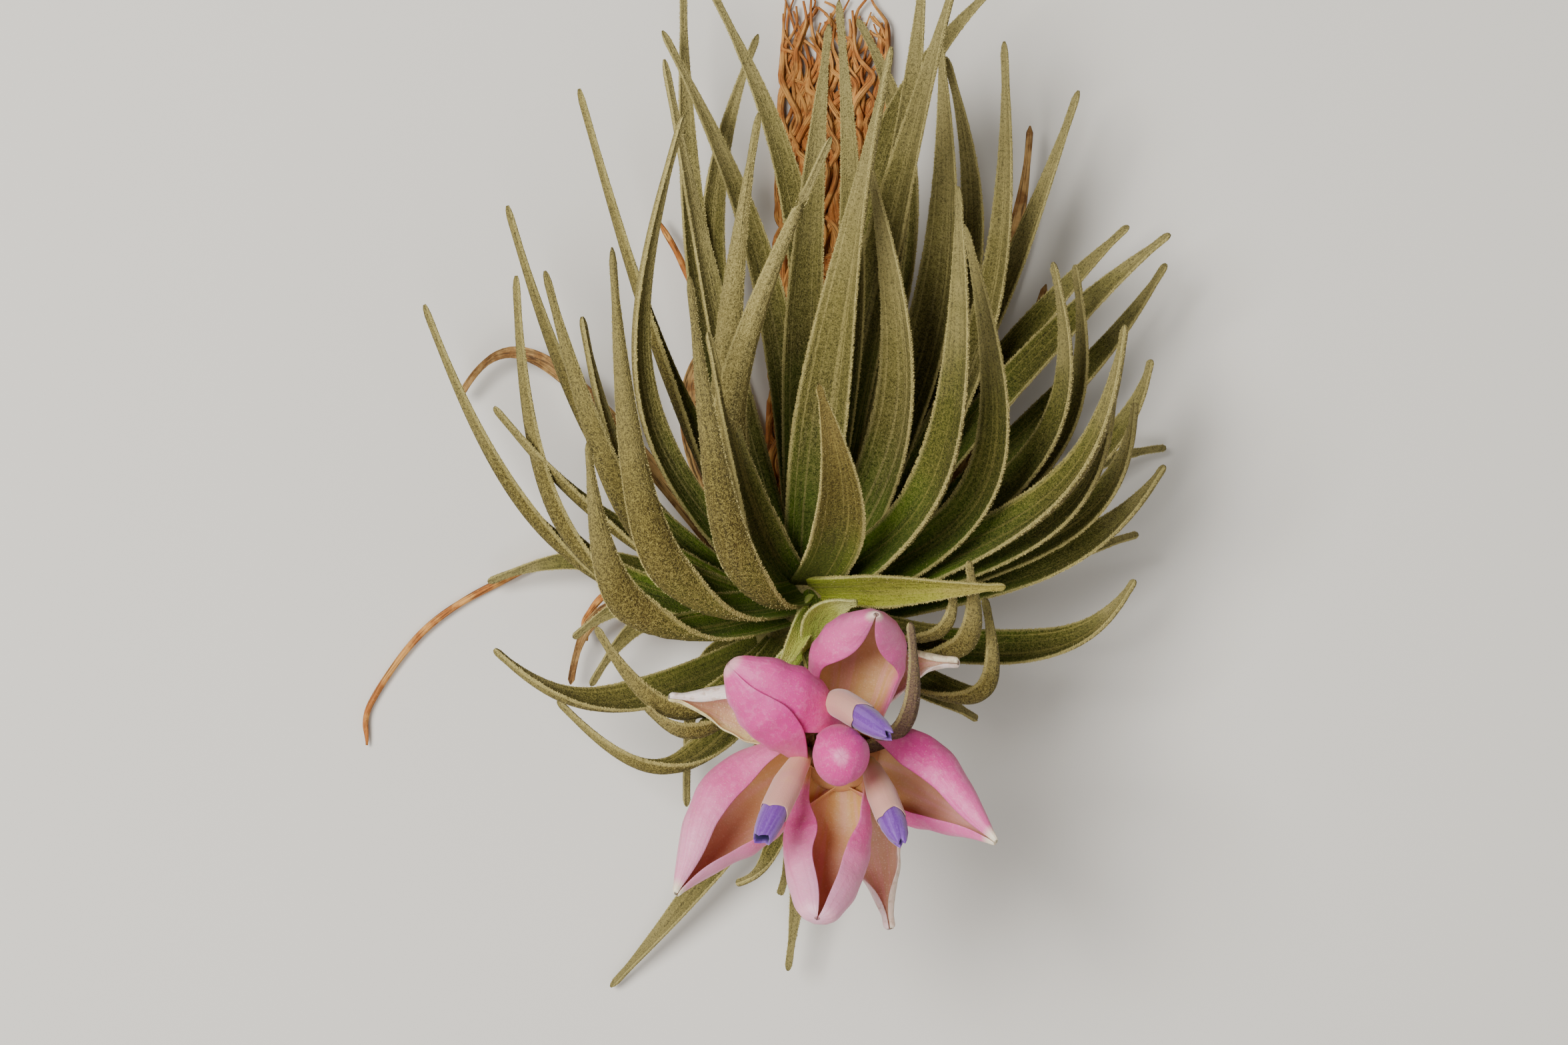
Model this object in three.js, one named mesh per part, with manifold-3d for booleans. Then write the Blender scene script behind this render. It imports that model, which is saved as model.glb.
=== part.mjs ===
// A small air plant in flower, as picked, lying on its back on the surface at z = 0.
// Millimetres. +Z is up, towards the open face of the rosette. +Y is the way the leaves sweep.
// The wiry root mat is the flat underside; the old stem sits on it, the green rosette on that,
// and the scape carries a head of pink bracts, a bud and three violet-tipped corolla tubes.
import * as THREE from 'three';
import { mergeVertices } from 'three/addons/utils/BufferGeometryUtils.js';
import Module from 'manifold-3d';

const wasm = await Module();
wasm.setup();

// Middle of the plant's own box, which becomes the origin.
const MIDDLE = [-2.36, 4.92];
// Clearance between pieces that seat on each other.
const GAP = 0.3;

// Stem: foot and heart of the rosette, and its radius at each.
const STEM_FOOT = new THREE.Vector3(2, -17, 8.6);
const STEM_HEART = new THREE.Vector3(3, -7.5, 34);
const STEM_SIDES = 10;
const STEM_LEVEL_HEIGHT = 3;
// Stem outline, swollen by the leaf sheaths: share of the height, radius.
const STEM_OUTLINE = [[0, 4.6], [0.3, 6.2], [0.6, 5.6], [0.88, 3.8], [1, 2]];

// Leaves bend round this line, which rises from the heart, and their channels face it.
const BOWL_LINE = new THREE.Vector3(0, 0.98, 0.2).normalize();
const BOWL_AXIS_PULL = 6;
// How hard a leaf turns at its knee.
const KNEE_WEIGHT = 1.7;

// Leaf blade: thickness, share of its width that it has at the base, and half width left at the tip.
const LEAF_THICKNESS = 1.15;
const LEAF_BASE_SHARE = 0.84;
const LEAF_TIP_HALF = 0.5;
// Share of the length at which a leaf is widest, and how it narrows from there to its tip.
const LEAF_WIDEST = 0.4;
const LEAF_TAPER = 1.5;
const LEAF_POINT = 0.75;
const LEAF_CHANNEL = 0.62;
// Share of the length over which a blade's turn builds up.
const LEAF_TURNED = 0.6;
const WIDE_LEAF = 5.7;
const LEAF_STEPS = 6;

// Green leaves: seat along the stem (0 foot, 1 heart), blade width, knee, tip and turn in degrees.
const FRONT_LEAVES = [
  [0.86, 5.2, [-17, -15, 53], [-20, 32, 52], 50],
  [0.93, 4.8, [-6.5, -12.5, 52], [-11, 28.5, 54], 25],
  [0.88, 5.7, [-3, -5, 40], [-9, 22.5, 44], -35],
  [0.76, 5.3, [-21, -17.5, 49], [-23, 9.5, 47], 45],
  [0.86, 6.6, [22, 0.5, 46], [20.5, 39.5, 46], 45],
  [0.78, 6.2, [31, -0.5, 38], [21.5, 35.5, 38], 30],
];
const LEFT_LEAVES = [
  [0.5, 4.8, [-31, -9.5, 26], [-32.5, 30, 27], 20],
  [0.62, 5.3, [-18.5, -9, 38], [-28.5, 30, 38], 40],
  [0.4, 4.4, [-31, -8.5, 18], [-44.5, 27, 16], 20],
  [0.36, 4.4, [-23.5, 2, 16], [-34, 39, 20], 35],
  [0.34, 4.4, [-13.5, 12, 20], [-25, 53, 24], 25],
  [0.45, 4, [-22.5, -1.5, 22], [-35, 14, 30], 20],
  [0.14, 3.1, [-23, -1.5, 9], [-37.5, -7.5, 3.4]],
  [0.2, 3.1, [-18, -7, 10], [-26.5, -14.5, 8]],
  [0.3, 4, [-20.5, -0.5, 14], [-25, 25.5, 16]],
];
const UPPER_LEAVES = [
  [0.52, 4, [-23.5, 11.5, 30], [-12, 48.5, 38]],
  [0.42, 4.4, [-6, 11.5, 26], [-14.5, 56, 30]],
  [0.32, 4, [1, 30, 16], [-15, 60.5, 20]],
  [0.28, 4.4, [-12.5, 25.5, 12], [-12.5, 67.5, 16]],
  [0.6, 4.8, [-10.5, 6.5, 36], [-3, 48.5, 42], 110],
  [0.66, 4.6, [-13, 6, 42], [5.5, 45, 50], 110],
  [0.34, 4, [5.5, 38.5, 16], [-9, 65, 26]],
  [0.84, 6.6, [3.5, 11.5, 34], [12.5, 55.5, 50]],
  [0.74, 6.6, [18, 11.5, 30], [10, 43, 40]],
  [0.5, 5.7, [11, 31, 26], [20.5, 65, 44]],
  [0.4, 4.4, [8.5, 50, 16], [26.5, 66, 26]],
  [0.56, 4, [10, 25, 34], [6.5, 62, 40]],
  [0.3, 4, [20.5, 43.5, 12], [9, 62, 20]],
  [0.48, 4.4, [15, 38, 20], [17, 69, 34]],
  [0.42, 6.2, [22, 23.5, 20], [19, 58.5, 28]],
  [0.34, 4.4, [28.5, 30.5, 12], [20, 57.5, 18]],
  [0.44, 4.8, [29, 20, 18], [27, 59, 22]],
  [0.34, 4.4, [26, 22, 12], [36.5, 53.5, 16]],
  [0.46, 4.8, [1.5, 26, 22], [5.5, 60.5, 28]],
  [0.24, 4, [-14, 34, 10], [-3.2, 60.5, 16]],
];
const RIGHT_LEAVES = [
  [0.62, 4.4, [38.5, 7, 28], [32.5, 31.5, 30], 12],
  [0.54, 4, [40, 7, 22], [35.5, 31.5, 24], 12],
  [0.3, 4, [30.5, 25.5, 10], [43, 37, 12]],
  [0.38, 4.4, [34, 25, 16], [47.5, 35.5, 20]],
  [0.28, 4, [39.5, 18.5, 8], [48, 32.5, 8]],
  [0.72, 5.7, [37.5, 0.5, 38], [40.5, 23.5, 40], 12],
  [0.66, 4.8, [38, -2, 33], [39.5, 16, 35], 12],
  [0.58, 4.8, [41.5, -1.5, 27], [42.5, 14.5, 29], 12],
  [0.48, 4.4, [42.5, 7, 20], [45, 20, 22], 12],
  [0.16, 3.1, [35.5, 8, 6], [48.5, 9.5, 1.3]],
  [0.54, 5.3, [38.5, -5.5, 24], [46.5, 7, 24]],
  [0.24, 3.1, [33.5, -4.5, 12], [44.5, -1.5, 8]],
  [0.44, 4.8, [36.5, -18.5, 20], [43, -7, 22]],
];
const LOWER_LEAVES = [
  [0.7, 4.6, [25, -20, 36], [21.8, -4.5, 43], -50],
  [0.76, 3.5, [20.5, -16, 39], [20, -7.5, 42], -30],
  [0.56, 4.4, [28, -27, 32], [24, -9, 36], -45],
  [0.3, 2.6, [18.5, -21, 18], [24, -24.5, 14]],
  [0.44, 4.8, [-23.5, -26.5, 22], [-35.5, -15.5, 22], 15],
  [0.58, 4.4, [-13, -29, 34], [-22.5, -12.5, 36], 45],
  [0.36, 4.4, [-13.5, -37, 16], [-28, -22, 16], 35],
  [0.62, 4, [-10, -29, 34], [-16.5, -22, 36], 45],
  [0.18, 2.6, [-12.5, -13, 9], [-12.3, -35.8, 6]],
  [0.22, 5.3, [-2, -37, 10], [-22, -59, 1.3]],
  [0.28, 2.6, [0, -43.5, 14], [-6, -45, 12]],
  [0.2, 2.6, [2, -39, 8], [-0.5, -47, 5]],
  [0.24, 4, [3.5, -34.5, 9], [0.5, -56.5, 6]],
  [0.22, 3.1, [-17, -7.5, 9], [-24.3, -20.5, 8]],
];
// The youngest leaves face out of the open side of the rosette.
const HEART_LEAVES = [
  [0.98, 6.2, [8.5, -0.5, 48], [4, 16, 56]],
  [0.97, 4.4, [12, -8, 44], [26, -7.5, 47]],
];
const OPEN_SIDE = new THREE.Vector3(0, -0.5, 1);

// Scape: its path out of the heart and down into the back of the flower head.
const SCAPE_PATH = [[3, -8, 32], [3.6, -14, 36], [5, -21, 37.5], [6.4, -26.4, 41.5]];
const SCAPE_RADIUS = 1.8;
const SCAPE_SIDES = 8;
const SCAPE_STEPS = 8;
// Green bracts that clasp the scape: start, knee, tip and width.
const SCAPE_BRACTS = [
  [[3, -9, 33], [2.2, -13, 42], [-1.6, -19.5, 38], 2.7],
  [[4, -15.5, 37], [4, -10, 42.5], [8.6, -9.4, 45], 4.6],
  [[3.5, -13, 35], [-3, -20, 36], [-5, -25, 34], 3],
];

// Flower head: its middle, the core that everything in it grows from, and the central bud.
const HEAD_MIDDLE = new THREE.Vector3(6.5, -27, 44.5);
const HEAD_AXIS = new THREE.Vector3(0, 0.02, 1).normalize();
// Height over the head's middle of the point that the hollow sides of the bracts face.
const HEAD_REACH = 16;
// The core, and how far its middle lies under the head's.
const CORE_RADIUS = 4.6;
const CORE_SUNK = 1.6;
const BUD_RADIUS = 3.35;
const BUD_HEIGHT = 19;
const BUD_SIDES = 14;
const BRACT_THICKNESS = 0.7;
const BRACT_DEPTH = 0.7;
const BRACT_TIP_RADIUS = 0.5;
// Radius at the base as a share, half angle wrapped there, and the share of the length at full size.
const BRACT_BASE_SHARE = 0.62;
const BRACT_BASE_WRAP = 1.8;
const BRACT_FULL = 0.45;
const BRACT_TIP_WRAP = 3;
const BRACT_STEPS = 6;
const BRACT_SIDES = 8;
// Floral bracts: knee, tip, radius of the rolled blade, half angle that it wraps, turn in degrees,
// bluntness (0 blunt) and the share of the length where the slot begins to close.
const FLORAL_BRACTS = [
  [[9, -13.5, 45], [10.6, -10.6, 57], 5.5, 2.1, 14, 0.6, 0.3],
  [[-0.5, -20.5, 56], [-6.4, -16.2, 58], 4.9, 2.95, -15, 0.5, 0.7],
  [[-4.5, -21.5, 43], [-13.5, -20.5, 46], 3.7, 2.2, -35, 1.1, 0.7],
  [[-7, -33, 45], [-12.5, -43, 54], 5.5, 2.6, -15, 0.8, 0.7],
  [[5, -38.5, 47], [3.8, -45.5, 58], 4.9, 2.65, -8, 0.34, 0.6],
  [[11, -38, 41], [12.5, -48, 43], 3.3, 1.9, 0, 1.1, 0.7],
  [[16, -29.5, 45], [24.5, -37, 54], 5.4, 2.65, 22, 0.8, 0.7],
  [[12.5, -16, 40], [20.5, -16.5, 45], 2.2, 1.8, 0, 1, 0.7],
];
// The last narrow leaf of the scape stands between two of the bracts and is grown to the core.
const SPUR_LEAF = [[16.5, -25.5, 48], [14.5, -11.5, 58], 3.6, 60];

// Corolla tubes: foot, knee and tip of each; the violet petals are rolled into the blunt tip.
const COROLLAS = [
  ['corolla_upper', [6.4, -22.4, 47], [5, -19.6, 53.5], [12, -24.3, 63]],
  ['corolla_left', [2.6, -27, 47], [0.6, -29.6, 54], [-2.6, -36.4, 59.5]],
  ['corolla_right', [10, -28.2, 47], [11, -30.6, 54], [13.4, -36.8, 60]],
];
// Corolla outline: share of the length, radius.
const COROLLA_OUTLINE = [
  [0, 0.9], [0.15, 1.35], [0.3, 1.6], [0.5, 1.8], [0.68, 1.8], [0.82, 1.75], [0.95, 1.3], [1, 0.7],
];
const COROLLA_SIDES = 12;

// Old stem: a brown stump with dead leaves, between the roots and the green stem.
const STUMP_MIDDLE = [2, -17];
const STUMP_BOTTOM = 4.5;
const STUMP_TOP = 8.3;
const STUMP_RADIUS = 5.6;
const STUMP_SIDES = 12;
const DRY_THICKNESS = 0.8;
// Dead leaves: knee, tip and width.
const DRY_LEAVES = [
  [[-33, 30, 6], [-41, 16, 3], 2.2],
  [[-16, 14, 5], [-9, 24, 5.5], 3],
  [[30, 30, 4], [31, 50, 6], 3],
  [[27, 12, 4], [33, 30, 6.5], 3],
  [[-25, -6, 5], [-27, -20.5, 3.5], 2.4],
];

// Root mat: the flat pad under the plant, the strands laid along it and the free roots.
const MAT_LOW_Y = -24;
const MAT_HIGH_Y = 66.5;
// Middle and half width of the mat at its low and high end.
const MAT_MIDDLE = [2.4, 6.8];
const MAT_HALF_WIDTH = [6, 7.2];
const MAT_CORNER = 4;
const MAT_THICKNESS = 1.6;
const CROWN_RADIUS = 6;
const CROWN_HEIGHT = STUMP_BOTTOM - GAP;
const STRAND_COUNT = 8;
const STRAND_RADIUS = 0.8;
const STRAND_SIDES = 5;
const STRAND_STEPS = 10;
const STRAND_SWAY = 1.3;
const FREE_ROOTS = [
  [
    [2, -15, 2.4], [-14, -9, 1.6], [-27, -4.5, 0.9], [-37, -8, 0.8],
    [-46, -14, 0.8], [-52.5, -23, 0.8], [-53, -28.3, 0.8],
  ],
  [[0, -15, 2.6], [-12, -10, 3], [-21, -8.5, 3.4], [-25, -12, 2.6], [-25, -15, 2]],
  [[2, -4, 2.6], [-4, 10, 3], [-9, 24, 3.6], [-13, 33, 3], [-16, 38.5, 2.4]],
];
const FREE_ROOT_RADIUS = 0.55;
const FREE_ROOT_STEPS = 10;

// Colours as the plant shows them.
const LEAF_GREEN = 0x7d7c58;
const STUMP_BROWN = 0x7a5638;
const ROOT_BROWN = 0xa8672a;
const BRACT_PINK = 0xe070b0;
const TUBE_VIOLET = 0x8a7ac8;

function vector(place) {
  return place.isVector3 ? place.clone() : new THREE.Vector3(...place);
}

function mix(from, to, share) {
  return from + (to - from) * share;
}

// Solids for joining and cutting.
function toSolid(geometry) {
  const bare = geometry.clone();
  bare.deleteAttribute('normal');
  bare.deleteAttribute('uv');
  const merged = mergeVertices(bare, 1e-5);
  const vertProperties = new Float32Array(merged.attributes.position.array);
  const triVerts = new Uint32Array(merged.index.array);
  return new wasm.Manifold(new wasm.Mesh({ numProp: 3, vertProperties, triVerts }));
}

function toGeometry(solid) {
  const mesh = solid.getMesh();
  const geometry = new THREE.BufferGeometry();
  geometry.setAttribute('position', new THREE.BufferAttribute(mesh.vertProperties, 3));
  geometry.setIndex(new THREE.BufferAttribute(mesh.triVerts, 1));
  geometry.computeVertexNormals();
  return geometry;
}

// The largest body of a solid: small hollows that joining has sealed are filled by this.
function mainBody(solid) {
  const bodies = solid.decompose();
  bodies.sort((one, other) => other.volume() - one.volume());
  return bodies[0];
}

function fuse(geometries) {
  let whole = toSolid(geometries[0]);
  for (const geometry of geometries.slice(1)) {
    whole = whole.add(toSolid(geometry));
  }
  return mainBody(whole);
}

function smoothstep(value) {
  return THREE.MathUtils.smoothstep(value, 0, 1);
}

// A midrib: a conic arc from base to tip that bends at the knee. Its inward side leans to what it
// faces, and is turned about the arc by an angle.
function midrib(base, knee, tip, inwardAt, angleAt = () => 0) {
  const start = vector(base);
  const turn = vector(knee);
  const end = vector(tip);
  function pointAt(t) {
    const startShare = (1 - t) * (1 - t);
    const turnShare = 2 * KNEE_WEIGHT * t * (1 - t);
    const endShare = t * t;
    const point = start.clone().multiplyScalar(startShare);
    point.addScaledVector(turn, turnShare).addScaledVector(end, endShare);
    return point.divideScalar(startShare + turnShare + endShare);
  }
  function frameAt(t) {
    const step = 0.01;
    const point = pointAt(t);
    const along = pointAt(t + step).sub(pointAt(t - step)).normalize();
    const inward = inwardAt(point);
    inward.addScaledVector(along, -inward.dot(along)).normalize().applyAxisAngle(along, angleAt(t));
    const sideways = inward.clone().cross(along);
    return { point, inward, sideways };
  }
  return frameAt;
}

// A blade is a box bent along a midrib: x runs from edge to edge, y through it and z from base to tip.
function blade(frameAt, section, across, steps) {
  const geometry = new THREE.BoxGeometry(2, 1, 1, across, 1, steps);
  const places = geometry.attributes.position;
  for (let i = 0; i < places.count; i += 1) {
    const t = places.getZ(i) + 0.5;
    const { point, inward, sideways } = frameAt(t);
    const [out, up] = section(places.getX(i), places.getY(i), t);
    point.addScaledVector(sideways, out).addScaledVector(inward, up);
    places.setXYZ(i, point.x, point.y, point.z);
  }
  return geometry;
}

// Which way a green leaf's channel faces: up the stem at its base, and towards the bowl line further out.
const STEM_AXIS = STEM_HEART.clone().sub(STEM_FOOT).normalize();
function towardsBowl(point) {
  const height = Math.max(0, point.clone().sub(STEM_HEART).dot(BOWL_LINE));
  const middle = STEM_HEART.clone().addScaledVector(BOWL_LINE, height);
  return middle.sub(point).addScaledVector(STEM_AXIS, BOWL_AXIS_PULL);
}

function towardsOpenSide() {
  return OPEN_SIDE.clone();
}

// Half width of a leaf, as a share of its widest, from base to tip.
function leafTaper(t) {
  if (t < LEAF_WIDEST) {
    return mix(LEAF_BASE_SHARE, 1, Math.sin((t / LEAF_WIDEST) * Math.PI * 0.5));
  }
  const late = Math.min(1, (t - LEAF_WIDEST) / (1 - LEAF_WIDEST));
  return (1 - late ** LEAF_TAPER) ** LEAF_POINT;
}

function leafSection(width, thickness) {
  return (edge, through, t) => {
    const half = Math.max(LEAF_TIP_HALF, width * 0.5 * leafTaper(t));
    const channel = half * LEAF_CHANNEL * Math.sin(Math.min(1, 0.35 + t * 1.4) * Math.PI * 0.5);
    return [half * edge, channel * (edge * edge - 0.5) + thickness * through];
  };
}

function leaf(base, knee, tip, width, turn = 0, facing = towardsBowl) {
  const across = width >= WIDE_LEAF ? 4 : 2;
  const angle = THREE.MathUtils.degToRad(turn);
  const frameAt = midrib(base, knee, tip, facing, (t) => angle * smoothstep(t / LEAF_TURNED));
  return blade(frameAt, leafSection(width, LEAF_THICKNESS), across, LEAF_STEPS);
}

// A rod of even thickness along a smooth path, from three.js's extrusion.
function rod(path, radius, sides, steps) {
  const curve = new THREE.CatmullRomCurve3(path.map(vector));
  const outline = new THREE.Shape();
  for (let i = 0; i < sides; i += 1) {
    const angle = (i / sides) * Math.PI * 2;
    const x = radius * Math.cos(angle);
    const y = radius * Math.sin(angle);
    if (i === 0) {
      outline.moveTo(x, y);
    } else {
      outline.lineTo(x, y);
    }
  }
  outline.closePath();
  return new THREE.ExtrudeGeometry(outline, { steps, extrudePath: curve, bevelEnabled: false });
}

// Turns a shape made along +Y to lie from one place towards another.
function alongLine(geometry, from, direction) {
  const turn = new THREE.Quaternion().setFromUnitVectors(new THREE.Vector3(0, 1, 0), direction);
  return geometry.applyQuaternion(turn).translate(from.x, from.y, from.z);
}

function stem() {
  const length = STEM_FOOT.distanceTo(STEM_HEART);
  const outline = STEM_OUTLINE.map(([share, radius]) => new THREE.Vector2(radius, share * length));
  outline.unshift(new THREE.Vector2(0, 0));
  outline.push(new THREE.Vector2(0, length));
  const shape = alongLine(new THREE.LatheGeometry(outline, STEM_SIDES), STEM_FOOT, STEM_AXIS);
  // The foot is level, so that it seats on the old stem.
  const places = shape.attributes.position;
  for (let i = 0; i < places.count; i += 1) {
    if (places.getZ(i) < STEM_FOOT.z + STEM_LEVEL_HEIGHT) {
      places.setZ(i, STEM_FOOT.z);
    }
  }
  return shape;
}

function rosette() {
  const rows = [FRONT_LEAVES, LEFT_LEAVES, UPPER_LEAVES, RIGHT_LEAVES, LOWER_LEAVES].flat();
  const shapes = [stem(), rod(SCAPE_PATH, SCAPE_RADIUS, SCAPE_SIDES, SCAPE_STEPS)];
  for (const [seat, width, knee, tip, turn] of rows) {
    shapes.push(leaf(STEM_FOOT.clone().lerp(STEM_HEART, seat), knee, tip, width, turn));
  }
  for (const [seat, width, knee, tip] of HEART_LEAVES) {
    shapes.push(leaf(STEM_FOOT.clone().lerp(STEM_HEART, seat), knee, tip, width, 0, towardsOpenSide));
  }
  for (const [start, knee, tip, width] of SCAPE_BRACTS) {
    shapes.push(leaf(start, knee, tip, width, 0, towardsOpenSide));
  }
  return fuse(shapes);
}

// Floral bracts are rolled like a boat, open towards the head's axis unless turned. The slot
// between their edges closes at the tip.
function bractSection(radius, wrap, blunt, closes) {
  return (edge, through, t) => {
    const swell = Math.sin(Math.min(1, t / BRACT_FULL) * Math.PI * 0.5);
    const late = Math.min(1, Math.max(0, (t - BRACT_FULL) / (1 - BRACT_FULL)));
    const narrowing = Math.max(0, Math.cos(late * Math.PI * 0.5)) ** blunt;
    const round = Math.max(BRACT_TIP_RADIUS, radius * mix(BRACT_BASE_SHARE, 1, swell) * narrowing);
    const full = mix(wrap, Math.max(wrap, BRACT_TIP_WRAP), smoothstep((t - closes) / (1 - closes)));
    const angle = edge * mix(BRACT_BASE_WRAP, full, swell);
    const reach = round - BRACT_THICKNESS * through;
    return [reach * Math.sin(angle), -reach * Math.cos(angle) * BRACT_DEPTH];
  };
}

function floralBract([knee, tip, radius, wrap, turn, blunt, closes]) {
  const faced = HEAD_MIDDLE.clone().addScaledVector(HEAD_AXIS, HEAD_REACH);
  const angle = THREE.MathUtils.degToRad(turn);
  const frameAt = midrib(HEAD_MIDDLE, knee, tip, (point) => faced.clone().sub(point), () => angle);
  return blade(frameAt, bractSection(radius, wrap, blunt, closes), BRACT_SIDES, BRACT_STEPS);
}

function bud() {
  const outline = [];
  const steps = 7;
  for (let i = 0; i <= steps; i += 1) {
    const angle = (i / steps) * Math.PI * 0.5;
    const top = BUD_HEIGHT - BUD_RADIUS * 1.2 + BUD_RADIUS * 1.2 * Math.sin(angle);
    outline.push(new THREE.Vector2(BUD_RADIUS * Math.cos(angle), top));
  }
  outline[steps].x = 0;
  outline.unshift(new THREE.Vector2(BUD_RADIUS * 0.8, 0));
  outline.unshift(new THREE.Vector2(0, 0));
  return alongLine(new THREE.LatheGeometry(outline, BUD_SIDES), HEAD_MIDDLE, HEAD_AXIS);
}

// A corolla tube, grown by a clearance for the socket that it stands in: a lathe shape along +Y,
// one long, whose middle line is then bent along an arc.
function corolla(foot, knee, tip, clearance) {
  const extra = clearance / vector(foot).distanceTo(vector(tip));
  const outline = COROLLA_OUTLINE.map(([share, radius]) => (
    new THREE.Vector2(radius + clearance, mix(-extra, 1 + extra, share))
  ));
  outline.unshift(new THREE.Vector2(0, -extra));
  outline.push(new THREE.Vector2(0, 1 + extra));
  const shape = new THREE.LatheGeometry(outline, COROLLA_SIDES);
  const frameAt = midrib(foot, knee, tip, () => new THREE.Vector3(0, 0, 1));
  const places = shape.attributes.position;
  for (let i = 0; i < places.count; i += 1) {
    const { point, inward, sideways } = frameAt(places.getY(i));
    point.addScaledVector(sideways, places.getX(i)).addScaledVector(inward, -places.getZ(i));
    places.setXYZ(i, point.x, point.y, point.z);
  }
  return shape;
}

function flowerHead() {
  const core = new THREE.SphereGeometry(CORE_RADIUS, 12, 8);
  core.translate(...HEAD_MIDDLE.clone().addScaledVector(HEAD_AXIS, -CORE_SUNK));
  const shapes = [core, bud(), ...FLORAL_BRACTS.map(floralBract)];
  const [spurKnee, spurTip, width, turn] = SPUR_LEAF;
  shapes.push(leaf(HEAD_MIDDLE, spurKnee, spurTip, width, turn));
  let head = fuse(shapes);
  for (const [, foot, knee, tip] of COROLLAS) {
    head = head.subtract(toSolid(corolla(foot, knee, tip, GAP)));
  }
  const path = SCAPE_PATH.map(vector);
  const last = path[path.length - 1];
  last.addScaledVector(last.clone().sub(path[path.length - 2]).normalize(), GAP);
  return mainBody(head.subtract(toSolid(rod(path, SCAPE_RADIUS + GAP, SCAPE_SIDES, SCAPE_STEPS))));
}

// Dead leaves lie low and flat; their channels face up.
function oldStem() {
  const [x, y] = STUMP_MIDDLE;
  const height = STUMP_TOP - STUMP_BOTTOM;
  const stump = new THREE.CylinderGeometry(STUMP_RADIUS, STUMP_RADIUS, height, STUMP_SIDES);
  stump.rotateX(Math.PI / 2).translate(x, y, STUMP_BOTTOM + height / 2);
  const start = [x, y, STUMP_BOTTOM + height / 2];
  const shapes = [stump];
  for (const [knee, tip, width] of DRY_LEAVES) {
    const frameAt = midrib(start, knee, tip, () => new THREE.Vector3(0, 0, 1));
    shapes.push(blade(frameAt, leafSection(width, DRY_THICKNESS), 2, LEAF_STEPS));
  }
  return fuse(shapes);
}

// The root mat: a thin pad with a crown under the old stem, wavy strands half sunk in it,
// and free roots that leave it.
function roots() {
  const [lowX, highX] = MAT_MIDDLE;
  const [low, high] = MAT_HALF_WIDTH;
  const outline = new THREE.Shape([
    [lowX - low, MAT_LOW_Y + MAT_CORNER],
    [lowX - low + MAT_CORNER, MAT_LOW_Y],
    [lowX + low - MAT_CORNER, MAT_LOW_Y],
    [lowX + low, MAT_LOW_Y + MAT_CORNER],
    [highX + high, MAT_HIGH_Y - MAT_CORNER],
    [highX + high - MAT_CORNER, MAT_HIGH_Y],
    [highX - high + MAT_CORNER, MAT_HIGH_Y],
    [highX - high, MAT_HIGH_Y - MAT_CORNER],
  ].map(([x, y]) => new THREE.Vector2(x, y)));
  const pad = new THREE.ExtrudeGeometry(outline, { depth: MAT_THICKNESS, bevelEnabled: false });
  const crown = new THREE.CylinderGeometry(STUMP_RADIUS, CROWN_RADIUS, CROWN_HEIGHT, STUMP_SIDES);
  crown.rotateX(Math.PI / 2).translate(...STUMP_MIDDLE, CROWN_HEIGHT / 2);
  const shapes = [pad, crown];
  for (let i = 0; i < STRAND_COUNT; i += 1) {
    const across = (i + 0.5) / STRAND_COUNT * 2 - 1;
    const phase = i * 2.4;
    const path = [];
    for (let k = 0; k <= 6; k += 1) {
      const share = k / 6;
      path.push([
        mix(lowX, highX, share) + across * (mix(low, high, share) - 0.6)
          + STRAND_SWAY * Math.sin(phase + share * 9),
        mix(MAT_LOW_Y + 3, MAT_HIGH_Y - 0.5 + 2 * Math.sin(phase * 1.7), share),
        1.9 + 0.7 * Math.sin(phase * 2 + share * 9),
      ]);
    }
    shapes.push(rod(path, STRAND_RADIUS, STRAND_SIDES, STRAND_STEPS));
  }
  for (const path of FREE_ROOTS) {
    shapes.push(rod(path, FREE_ROOT_RADIUS, STRAND_SIDES, FREE_ROOT_STEPS));
  }
  return fuse(shapes);
}

const group = new THREE.Group();
group.position.set(-MIDDLE[0], -MIDDLE[1], 0);

function addPiece(name, geometry, color, roughness) {
  const material = new THREE.MeshStandardMaterial({ color, roughness, metalness: 0 });
  const mesh = new THREE.Mesh(geometry, material);
  mesh.name = name;
  group.add(mesh);
}

addPiece('roots', toGeometry(roots()), ROOT_BROWN, 0.9);
addPiece('old_stem', toGeometry(oldStem()), STUMP_BROWN, 0.9);
addPiece('rosette', toGeometry(rosette()), LEAF_GREEN, 0.85);
addPiece('flower_head', toGeometry(flowerHead()), BRACT_PINK, 0.6);
for (const [name, foot, knee, tip] of COROLLAS) {
  addPiece(name, toGeometry(toSolid(corolla(foot, knee, tip, 0))), TUBE_VIOLET, 0.55);
}

export default group;
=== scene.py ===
"""A small air plant in flower, as picked, lying on its back on a pale floor.

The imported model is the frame. Rows of leaves, bracts and roots are in millimetres, with the
place that the camera looks at as their zero, and MIDDLE moves them onto the plant's own origin.
+Z is up, towards the open face of the rosette, and +Y is the way the leaves sweep.
"""
import logging
import math
from collections.abc import Callable, Iterable, Sequence
from dataclasses import dataclass
from enum import Enum

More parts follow.
